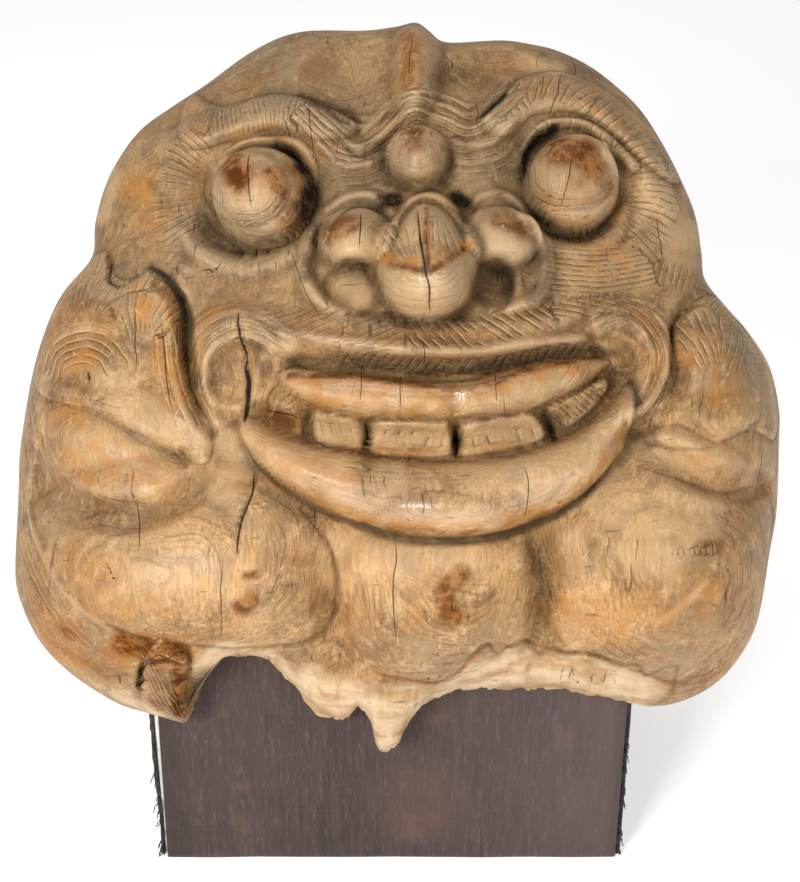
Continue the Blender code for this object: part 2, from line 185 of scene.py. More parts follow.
SWELLS = (
    # Muzzle, then the nose: drop-shaped body, tip, and the pits of the nostrils
    Swell(0.06, 0.14, 0.62, 0.52, 0.30, 1.2),
    Swell(0.063, 0.445, 0.122, 0.160, 0.24, 0.55),
    Swell(0.060, 0.385, 0.100, 0.092, 0.10, 0.7),
    Swell(-0.104, 0.378, 0.074, 0.074, -0.07, 0.7),
    Swell(0.214, 0.394, 0.062, 0.066, -0.09, 0.8),
    # Hollows of the eye sockets
    Swell(-0.345, 0.620, 0.210, 0.200, -0.11, 1.0),
    Swell(0.415, 0.650, 0.200, 0.190, -0.11, 1.0),
    # Cheeks: upper lobes and round bulbs beside the mouth
    Swell(-0.700, 0.340, 0.240, 0.210, 0.14, 1.2),
    Swell(0.740, 0.310, 0.200, 0.200, 0.12, 1.2),
    Swell(-0.700, 0.020, 0.290, 0.250, 0.22, 1.1),
    Swell(0.745, 0.060, 0.250, 0.250, 0.22, 1.1),
    # Jowls and chin
    Swell(-0.540, -0.330, 0.440, 0.290, 0.22, 0.9),
    Swell(0.640, -0.300, 0.330, 0.330, 0.22, 0.9),
    Swell(0.100, -0.390, 0.240, 0.270, 0.18, 0.9),
    # Corners of the mouth
    Swell(-0.370, 0.140, 0.110, 0.120, -0.09, 1.0),
    Swell(0.520, 0.195, 0.110, 0.120, -0.08, 1.0),
    # Hollows on both sides of the crown's beak
    Swell(-0.110, 0.960, 0.150, 0.150, -0.10, 1.0),
    Swell(0.230, 0.950, 0.160, 0.130, -0.10, 1.0),
)

BALLS = (
    # Left eye, right eye, the knob on the forehead and the wings of the nose
    Ball(-0.328, 0.630, 0.123, 0.124, 0.34, 0.42, -0.16, 0.16),
    Ball(0.421, 0.668, 0.116, 0.124, 0.34, 0.42, 0.04, 0.16),
    Ball(0.043, 0.735, 0.080, 0.085, 0.18, 0.50, 0.00, 0.20),
    Ball(-0.105, 0.512, 0.092, 0.086, 0.20, 0.50, -0.05, 0.10),
    Ball(0.240, 0.518, 0.096, 0.086, 0.20, 0.50, 0.05, 0.10),
)

STROKES = (
    # Brow bands
    Stroke(0.13, 0.095, 0.5, (-0.58, 0.80, -0.46, 0.79, -0.39, 0.80, -0.30, 0.82, -0.22, 0.79,
        -0.15, 0.745, -0.08, 0.730)),
    Stroke(0.13, 0.095, 0.5, (0.20, 0.780, 0.25, 0.84, 0.31, 0.87, 0.39, 0.875, 0.46, 0.85, 0.53, 0.79,
        0.60, 0.71, 0.66, 0.63)),
    # Ridges under the eyes
    Stroke(0.07, 0.036, 0.5, (-0.529, 0.55, -0.498, 0.500, -0.42, 0.462, -0.342, 0.459, -0.253, 0.490,
        -0.21, 0.54)),
    Stroke(0.06, 0.034, 0.5, (0.29, 0.56, 0.34, 0.515, 0.41, 0.500, 0.48, 0.515, 0.53, 0.555, 0.56, 0.62)),
    # Bridge of the nose and the folds round its wings
    Stroke(0.06, 0.075, 0.3, (0.045, 0.70, 0.055, 0.62, 0.063, 0.50)),
    Stroke(0.09, 0.026, 0.5, (-0.165, 0.575, -0.205, 0.545, -0.222, 0.480, -0.222, 0.409, -0.190, 0.355,
        -0.130, 0.323)),
    Stroke(0.09, 0.026, 0.5, (0.285, 0.575, 0.325, 0.545, 0.345, 0.480, 0.340, 0.415, 0.317, 0.360,
        0.253, 0.328)),
    # Moustache band, the rim under it and the groove above the lip
    Stroke(0.05, 0.040, 0.4, (-0.325, 0.326, -0.215, 0.290, 0.0, 0.275, 0.176, 0.270, 0.263, 0.275,
        0.350, 0.300, 0.421, 0.325)),
    Stroke(0.08, 0.026, 0.4, (-0.273, 0.271, -0.155, 0.247, 0.0, 0.227, 0.175, 0.220, 0.262, 0.232,
        0.348, 0.250, 0.433, 0.262)),
    Stroke(-0.07, 0.036, 0.4, (-0.27, 0.200, -0.16, 0.190, 0.0, 0.182, 0.117, 0.180, 0.233, 0.190,
        0.35, 0.212, 0.467, 0.222)),
    # Upper lip, the band of teeth and the thick lower lip
    Stroke(0.05, 0.060, 0.6, (-0.28, 0.134, -0.228, 0.120, -0.137, 0.104, 0.0, 0.092, 0.116, 0.090,
        0.216, 0.104, 0.319, 0.137, 0.421, 0.173, 0.480, 0.190)),
    Stroke(-0.09, 0.050, 0.5, (-0.332, 0.081, -0.227, 0.039, -0.14, 0.016, 0.0, 0.002, 0.135, 0.002,
        0.275, 0.020, 0.374, 0.057, 0.468, 0.116)),
    Stroke(0.16, 0.100, 0.8, (-0.365, 0.030, -0.314, -0.027, -0.228, -0.081, -0.114, -0.120, 0.0, -0.139,
        0.116, -0.144, 0.232, -0.132, 0.348, -0.096, 0.444, -0.027, 0.515, 0.065)),
    # Rings that curl out of the corners of the mouth
    Stroke(0.05, 0.060, 0.5, (-0.50, 0.10, -0.49, 0.21, -0.43, 0.29, -0.34, 0.29, -0.26, 0.25)),
    Stroke(0.05, 0.060, 0.5, (0.46, 0.30, 0.54, 0.30, 0.60, 0.23, 0.60, 0.14, 0.55, 0.06)),
    # Valleys round the cheeks
    Stroke(-0.06, 0.055, 0.4, (-0.93, -0.02, -0.885, -0.098, -0.81, -0.157, -0.68, -0.187, -0.553, -0.168,
        -0.460, -0.088)),
    Stroke(-0.06, 0.055, 0.4, (0.55, 0.00, 0.66, -0.06, 0.78, -0.110, 0.93, -0.118)),
    Stroke(-0.08, 0.030, 0.4, (-0.585, 0.405, -0.535, 0.360, -0.514, 0.270, -0.506, 0.180, -0.480, 0.085,
        -0.445, 0.020)),
    Stroke(-0.04, 0.030, 0.4, (0.72, 0.380, 0.68, 0.320, 0.68, 0.22, 0.66, 0.12, 0.60, 0.03)),
    # Folds between the jowls and the chin
    Stroke(-0.04, 0.055, 0.4, (-0.15, -0.20, -0.165, -0.40, -0.14, -0.64)),
    Stroke(-0.04, 0.055, 0.4, (0.33, -0.20, 0.345, -0.40, 0.32, -0.62)),
    # Beak that runs down from the crown
    Stroke(0.16, 0.070, 0.4, (0.045, 1.16, 0.040, 1.00, 0.030, 0.86)),
)

PLATES = (
    # Brows and lids
    Plate(0.010, 0.010, 0.6, (178, 128, 183, 108, 193, 95, 210, 102, 223, 106, 240, 102, 260, 96, 277, 94,
        295, 96, 314, 102, 336, 111, 356, 122, 358, 134, 340, 140, 322, 142, 308, 138, 297, 134, 282, 131,
        266, 132, 249, 136, 230, 142, 210, 148, 193, 149, 182, 144)),
    Plate(0.011, 0.010, 0.6, (480, 118, 491, 110, 504, 95, 515, 82, 528, 75, 543, 72, 565, 73, 584, 80,
        608, 93, 630, 111, 652, 130, 667, 150, 682, 176, 672, 184, 652, 170, 634, 155, 615, 138, 595, 122,
        574, 115, 552, 114, 534, 117, 521, 127, 511, 137, 498, 140, 484, 132)),
    Plate(0.007, 0.005, 0.6, (222, 155, 236, 143, 252, 137, 270, 135, 290, 136, 306, 143, 316, 158,
        320, 180, 313, 200, 308, 180, 300, 163, 286, 151, 266, 146, 248, 147, 234, 153)),
    Plate(0.008, 0.005, 0.6, (514, 174, 519, 148, 530, 130, 545, 120, 563, 117, 585, 120, 604, 130,
        622, 146, 640, 166, 630, 174, 616, 160, 604, 146, 588, 134, 568, 129, 550, 133, 536, 142, 526, 156,
        522, 178)),
    # Nose: drop, and the hood that frames its top
    Plate(0.020, 0.026, 0.5, (424, 204, 408, 214, 392, 236, 378, 254, 374, 272, 380, 292, 393, 309,
        412, 320, 432, 322, 452, 317, 467, 302, 475, 282, 480, 260, 478, 245, 464, 230, 446, 214)),
    Plate(0.009, 0.005, 0.6, (386, 240, 391, 222, 401, 206, 415, 194, 432, 191, 449, 198, 461, 213,
        468, 233, 458, 228, 448, 213, 436, 204, 424, 201, 411, 207, 402, 219, 396, 238)),
    # Cheek lobes, with the bulbs below them
    Plate(0.008, 0.010, 0.6, (90, 257, 108, 252, 116, 276, 134, 277, 150, 268, 166, 280, 180, 298,
        187, 322, 185, 352, 189, 378, 200, 408, 213, 432, 208, 464, 166, 451, 134, 437, 110, 422, 72, 406,
        42, 396, 30, 372, 42, 330, 62, 290, 78, 266)),
    Plate(0.007, 0.018, 0.7, (34, 410, 46, 450, 60, 472, 80, 492, 117, 504, 164, 507, 190, 496, 214, 474,
        220, 452, 198, 456, 166, 447, 134, 433, 106, 417, 72, 402, 46, 396)),
    Plate(0.008, 0.010, 0.6, (676, 322, 690, 306, 706, 296, 724, 300, 744, 330, 768, 370, 780, 420,
        772, 440, 748, 430, 716, 442, 680, 426, 650, 426, 662, 400, 677, 378, 673, 345)),
    Plate(0.007, 0.016, 0.7, (646, 430, 680, 421, 716, 437, 752, 425, 778, 440, 776, 476, 734, 493,
        694, 478, 656, 458, 634, 442)),
    # Jowls and chin
    Plate(0.008, 0.034, 0.8, (30, 504, 60, 488, 80, 500, 117, 513, 164, 516, 206, 496, 240, 482, 290, 506,
        325, 536, 336, 580, 327, 616, 300, 640, 250, 649, 176, 649, 117, 634, 76, 610, 47, 568, 30, 530)),
    Plate(0.006, 0.026, 0.8, (345, 545, 370, 537, 435, 544, 500, 541, 534, 550, 541, 600, 530, 640,
        500, 656, 480, 668, 440, 686, 390, 678, 352, 654, 335, 610, 337, 570)),
    Plate(0.008, 0.034, 0.8, (545, 540, 590, 506, 630, 472, 660, 466, 700, 490, 740, 502, 772, 496,
        772, 540, 758, 590, 738, 632, 700, 662, 645, 674, 600, 656, 560, 646, 545, 600)),
    # Upper lip, teeth and lower lip
    Plate(0.012, 0.010, 0.55, (278, 376, 292, 368, 317, 370, 371, 377, 425, 382, 467, 381, 499, 371,
        531, 362, 572, 357, 608, 361, 600, 373, 579, 388, 540, 407, 499, 416, 435, 419, 378, 419, 340, 414,
        308, 403, 288, 392)),
    Plate(0.009, 0.003, 0.5, (315, 411, 352, 418, 363, 427, 363, 449, 338, 447, 317, 441, 313, 426)),
    Plate(0.010, 0.003, 0.5, (376, 421, 436, 422, 449, 426, 451, 456, 404, 457, 371, 453, 370, 436)),
    Plate(0.010, 0.003, 0.5, (465, 424, 522, 414, 536, 417, 545, 436, 520, 448, 463, 456, 461, 440)),
    Plate(0.008, 0.003, 0.5, (548, 408, 580, 392, 602, 378, 607, 390, 590, 412, 568, 428, 560, 422)),
    Plate(0.004, 0.004, 0.6, (254, 410, 276, 402, 296, 408, 303, 424, 300, 436, 282, 430, 264, 420)),
    Plate(0.020, 0.017, 0.5, (243, 414, 276, 430, 308, 444, 359, 454, 403, 460, 451, 462, 499, 459,
        540, 448, 563, 439, 590, 421, 612, 402, 626, 384, 633, 400, 629, 430, 618, 458, 589, 488, 547, 516,
        499, 532, 435, 535, 371, 525, 308, 499, 263, 467, 241, 437)),
    # Rings at the corners of the mouth
    Plate(0.005, 0.005, 0.6, (190, 332, 211, 309, 250, 306, 290, 328, 304, 350, 284, 366, 262, 410,
        240, 420, 212, 430, 196, 400, 188, 368)),
    Plate(0.004, 0.004, 0.6, (205, 342, 225, 322, 250, 318, 272, 332, 280, 350, 262, 368, 254, 404,
        236, 412, 215, 408, 203, 386)),
    Plate(-0.003, 0.004, 0.6, (212, 366, 226, 346, 250, 341, 262, 352, 256, 380, 248, 400, 232, 406,
        216, 396)),
    Plate(0.005, 0.005, 0.6, (588, 312, 614, 299, 645, 299, 668, 320, 673, 353, 665, 390, 641, 419,
        624, 424, 622, 396, 600, 356)),
    Plate(0.004, 0.004, 0.6, (588, 328, 612, 315, 638, 320, 652, 342, 655, 368, 645, 394, 630, 408,
        622, 390, 606, 356)),
    Plate(-0.003, 0.004, 0.6, (588, 344, 610, 334, 628, 344, 637, 364, 632, 386, 620, 384, 604, 362)),
    # Caps of the eyes, and the round wall of the left nostril
    Plate(0.0035, 0.0025, 0.5, (286, 184, 281, 200, 267, 212, 248, 217, 229, 212, 215, 200, 210, 184,
        215, 167, 229, 155, 248, 151, 267, 155, 281, 167)),
    Plate(0.0025, 0.0025, 0.5, (615, 166, 609, 184, 593, 197, 572, 202, 551, 197, 536, 184, 530, 166,
        536, 150, 551, 138, 572, 134, 593, 138, 609, 150)),
    Plate(0.006, 0.012, 0.6, (330, 286, 337, 272, 352, 267, 368, 272, 376, 288, 372, 306, 358, 314,
        341, 308, 332, 298)),
    # Broken stump
    Plate(0.005, 0.004, 0.6, (146, 650, 160, 640, 184, 650, 190, 668, 190, 716, 177, 726, 150, 712,
        141, 690)),
)

CUTS = (
    # Hood rims of the wings
    Cut(0.007, 8, 0.4, (310, 250, 313, 234, 325, 213, 345, 199, 369, 195, 388, 206, 394, 224)),
    Cut(-0.004, 4, 0.4, (328, 240, 334, 222, 350, 209, 370, 206, 382, 216)),
    Cut(0.007, 7, 0.4, (466, 222, 476, 201, 497, 194, 518, 204, 538, 229, 544, 250)),
    Cut(0.004, 5, 0.4, (472, 226, 482, 208, 500, 203, 518, 213, 532, 234)),
    # Pits between the nose and its wings
    Cut(-0.009, 9, 0.3, (456, 196, 467, 205)),
    Cut(-0.008, 8, 0.3, (384, 200, 397, 200)),
    # Slits between the teeth
    Cut(-0.003, 4, 0.2, (310, 412, 306, 438)),
    Cut(-0.004, 5, 0.3, (366, 422, 368, 450)),
    Cut(-0.005, 5, 0.3, (456, 424, 457, 456)),
    Cut(-0.005, 6, 0.3, (545, 412, 555, 440)),
    # Waves between the brows
    Cut(0.005, 5, 0.5, (304, 104, 330, 130, 356, 147, 384, 134, 402, 116, 424, 112, 446, 120, 474, 128,
        498, 108, 520, 82)),
    Cut(0.004, 4, 0.5, (300, 118, 320, 146, 346, 166, 374, 162, 392, 142)),
    Cut(0.005, 4, 0.5, (322, 100, 345, 120, 366, 127, 390, 110, 418, 100, 446, 106, 470, 115, 492, 100,
        512, 80)),
    Cut(0.004, 4, 0.5, (352, 116, 372, 118, 392, 102, 418, 93, 446, 97, 474, 106, 496, 92)),
    Cut(-0.004, 4, 0.5, (308, 112, 338, 138, 360, 156, 384, 146, 400, 126)),
    Cut(0.004, 5, 0.5, (452, 140, 476, 146, 500, 138, 516, 120)),
    Cut(0.003, 5, 0.5, (452, 158, 478, 162, 504, 154, 518, 140)),
    # Worn edge of the upper lip, and the undercut of the lower lip
    Cut(0.003, 4, 0.6, (290, 374, 357, 379, 400, 384, 451, 390, 477, 388, 528, 369, 558, 362, 600, 364)),
    Cut(-0.006, 6, 0.6, (246, 444, 262, 470, 319, 510, 400, 537, 477, 539, 528, 526, 579, 500, 622, 450)),
    # Crest where the leaf of the upper lip parts in the middle
    Cut(-0.003, 12, 0.5, (450, 384, 452, 402, 452, 418)),
    # Pale second edge above the upper lip
    Cut(0.003, 3, 0.5, (322, 366, 362, 367, 400, 371, 440, 376, 470, 375, 510, 366, 560, 352)),
    # Deep edges of the cheek lobes, and the soft creases under them
    Cut(-0.0045, 4, 0.5, (152, 269, 164, 275, 175, 286, 184, 304, 185, 334, 187, 360, 191, 386, 200, 412)),
    Cut(-0.002, 3, 0.4, (82, 403, 106, 417, 130, 430, 156, 445, 180, 455, 202, 462)),
    Cut(-0.002, 3, 0.4, (646, 444, 672, 449, 700, 448, 718, 444)),
    Cut(-0.002, 3, 0.4, (634, 464, 655, 471, 688, 482, 720, 493, 752, 486)),
    Cut(-0.004, 4, 0.4, (671, 372, 671, 348, 674, 325, 688, 310, 702, 305)),
    # Crisp right end and lower side of the left jowl
    Cut(-0.003, 4, 0.4, (293, 503, 316, 528, 332, 552, 338, 588, 332, 620, 306, 642, 255, 648, 191, 646,
        144, 639, 102, 622)),
    Cut(-0.0015, 3, 0.4, (545, 548, 549, 590, 546, 636)),
    # Rings of the nostrils
    Cut(-0.003, 4, 0.4, (480, 270, 490, 262, 503, 264, 511, 275, 512, 290, 506, 304, 492, 312)),
    Cut(-0.003, 4, 0.4, (330, 308, 325, 294, 326, 280, 334, 268, 346, 262, 360, 262, 372, 268)),
    # Stepped rings beside the mouth
    Cut(-0.002, 3, 0.4, (592, 323, 617, 304, 648, 307, 668, 325, 674, 352, 667, 382, 649, 410, 631, 421)),
    Cut(-0.002, 3, 0.4, (592, 331, 620, 317, 646, 331, 661, 352, 655, 382, 640, 407)),
    Cut(-0.0015, 3, 0.4, (599, 334, 625, 332, 646, 354, 651, 378, 638, 402)),
    Cut(-0.002, 3, 0.4, (188, 372, 187, 350, 196, 326, 216, 312, 242, 308, 268, 318, 290, 336)),
    Cut(-0.0015, 3, 0.4, (204, 396, 200, 368, 208, 344, 228, 330, 252, 328, 272, 344)),
    # Rings round the eyes
    Cut(-0.002, 3, 0.4, (206, 176, 206, 196, 216, 214, 236, 226, 258, 226, 280, 212, 290, 192)),
    Cut(-0.0015, 3, 0.4, (527, 168, 532, 190, 548, 204, 572, 209, 598, 203, 615, 186)),
    # Contour inside the left silhouette
    Cut(0.003, 6, 0.4, (30, 400, 36, 440, 28, 500, 44, 556, 74, 602, 116, 632)),
    # Split of the ragged lobe, and the broken stump
    Cut(-0.006, 3, 0.3, (109, 256, 111, 270, 110, 282, 121, 288)),
    Cut(-0.002, 3, 0.3, (121, 289, 134, 280, 152, 269)),
    Cut(-0.003, 3, 0.3, (188, 646, 190, 662, 187, 690)),
    Cut(-0.005, 3, 0.3, (143, 661, 140, 674, 138, 688)),
    Cut(-0.005, 3, 0.3, (150, 664, 166, 660, 182, 664)),
    Cut(0.003, 4, 0.3, (158, 672, 170, 696, 180, 718)),
    Cut(0.003, 3, 0.3, (170, 668, 180, 690, 186, 712)),
    # Torn edge of the skin above the raw rim
    Cut(-0.002, 3, 0.3, (384, 674, 415, 680, 436, 682, 454, 679, 464, 666, 474, 653, 487, 643, 498, 653,
        512, 645, 526, 639, 538, 653, 553, 648, 566, 654, 584, 652, 604, 658, 617, 667, 637, 664, 647, 676,
        663, 668, 678, 667, 674, 684, 672, 694)),
)

BANDS = (
    # Hair of the brows and the lids
    Band(22, 5.5, -8, 0.9, (182, 124, 196, 125, 212, 126)),
    Band(23, 5.0, 4, 0.8, (208, 126, 245, 119, 275, 113, 302, 117, 328, 124, 350, 130)),
    Band(23, 9.0, -26, 0.9, (500, 122, 520, 98, 545, 93, 570, 94, 596, 107)),
    Band(23, 9.0, -8, 0.9, (590, 103, 606, 116, 622, 131, 648, 152, 676, 180)),
    Band(10, 12.0, 10, 0.7, (530, 135, 552, 124, 585, 127, 610, 144, 632, 166)),
    # Waves between the brows and over the knob
    Band(26, 6.5, 90, 1.0, (296, 102, 320, 126, 350, 146, 380, 134, 400, 112, 420, 104, 445, 112, 472, 122,
        498, 104, 520, 82)),
    Band(24, 7.0, 90, 0.6, (312, 150, 336, 170, 362, 174, 386, 158)),
    Band(30, 7.0, 90, 0.6, (448, 150, 474, 156, 500, 148, 516, 130)),
    # Fans beside the eyes
    Band(30, 6.5, 0, 0.95, (206, 132, 184, 158, 174, 184, 174, 212, 188, 240)),
    Band(36, 7.0, -6, 1.0, (628, 134, 648, 166, 656, 198, 650, 228, 632, 254)),
    # Ribs beside the nose and the moustache
    Band(30, 5.5, 88, 1.0, (544, 268, 580, 272, 612, 270, 656, 260)),
    Band(20, 6.0, -58, 0.9, (258, 308, 290, 318, 330, 322, 372, 330, 410, 334)),
    Band(18, 7.5, 42, 1.0, (400, 332, 440, 334, 477, 332, 520, 322, 560, 312)),
    Band(12, 6.0, 70, 0.9, (540, 316, 575, 308, 620, 304)),
    Band(9, 7.0, -40, 0.9, (330, 362, 372, 360, 400, 364, 451, 367, 502, 364, 553, 354, 600, 350)),
    # Fan on the nose, and the growth lines under it
    Band(24, 6.0, 0, 0.8, (388, 252, 404, 244, 424, 240, 444, 240, 462, 234)),
    Band(26, 6.0, 90, 0.45, (384, 282, 402, 296, 428, 300, 452, 294, 470, 276)),
    # Growth lines of the eyes and the knob
    Band(7, 4.5, 90, 0.8, (209, 186, 216, 204, 232, 215, 250, 218, 270, 212, 284, 194)),
    Band(8, 4.5, 90, 0.8, (529, 160, 533, 185, 550, 200, 572, 203, 598, 198, 614, 180)),
    Band(20, 6.0, 90, 0.5, (216, 208, 238, 226, 262, 230, 286, 222, 302, 204)),
    Band(20, 6.0, 90, 0.5, (532, 196, 548, 216, 572, 222, 596, 214, 612, 194)),
    Band(16, 7.0, 90, 0.35, (392, 166, 418, 174, 444, 166)),
    # Mouth corner rings
    Band(18, 8.0, 90, 0.7, (214, 424, 200, 396, 198, 365, 213, 338, 240, 326, 268, 334, 292, 352)),
    Band(20, 9.0, 0, 0.4, (206, 396, 203, 362, 216, 338, 242, 328, 270, 336)),
    Band(18, 8.0, 90, 0.7, (596, 312, 628, 310, 652, 332, 660, 362, 652, 392, 634, 414)),
    # Hair and growth arcs on the cheek lobes
    Band(30, 7.0, -16, 0.8, (74, 296, 96, 290, 122, 296, 146, 292, 164, 300)),
    Band(18, 9.0, 90, 0.7, (154, 296, 168, 330, 172, 366, 182, 402, 198, 434)),
    Band(26, 8.0, 90, 1.0, (52, 380, 60, 356, 84, 345, 106, 351, 122, 372)),
    Band(30, 7.0, -10, 0.9, (116, 322, 136, 312, 158, 312, 180, 324)),
    Band(26, 6.0, 10, 0.8, (92, 268, 104, 274, 116, 290, 134, 294, 152, 284, 166, 294)),
    Band(12, 8.0, 90, 0.5, (60, 400, 90, 404, 124, 412)),
    Band(34, 9.0, 8, 1.0, (676, 346, 698, 338, 720, 338, 744, 356)),
    Band(14, 6.0, -20, 0.9, (700, 296, 726, 314, 746, 342, 764, 380)),
    Band(16, 7.0, -10, 0.8, (612, 262, 650, 270, 684, 278, 704, 286)),
    # Hatching on the lip and the end teeth
    Band(12, 8.0, -50, 0.6, (556, 378, 580, 372, 602, 366)),
    Band(12, 5.5, 24, 0.9, (552, 420, 580, 404, 604, 386)),
    Band(12, 7.0, -30, 0.9, (246, 402, 270, 392, 296, 402)),
    Band(8, 9.0, 20, 0.6, (318, 426, 360, 434)),
    Band(8, 14.0, -14, 0.9, (376, 436, 446, 440)),
    Band(8, 14.0, 14, 0.9, (466, 440, 536, 432)),
    # Fibres of the stump, ticks on the right jowl and growth lines of the left side
    Band(16, 4.0, 90, 0.8, (146, 664, 160, 690, 180, 720)),
    Band(16, 4.5, 90, 0.5, (110, 680, 134, 700, 160, 712)),
    Band(5, 6.0, 0, 0.9, (668, 553, 690, 551, 714, 549)),
    Band(14, 6.5, 90, 0.6, (24, 470, 22, 520, 34, 566, 60, 612, 96, 650)),
    Band(18, 7.0, 0, 0.35, (26, 540, 42, 590, 70, 634)),
)

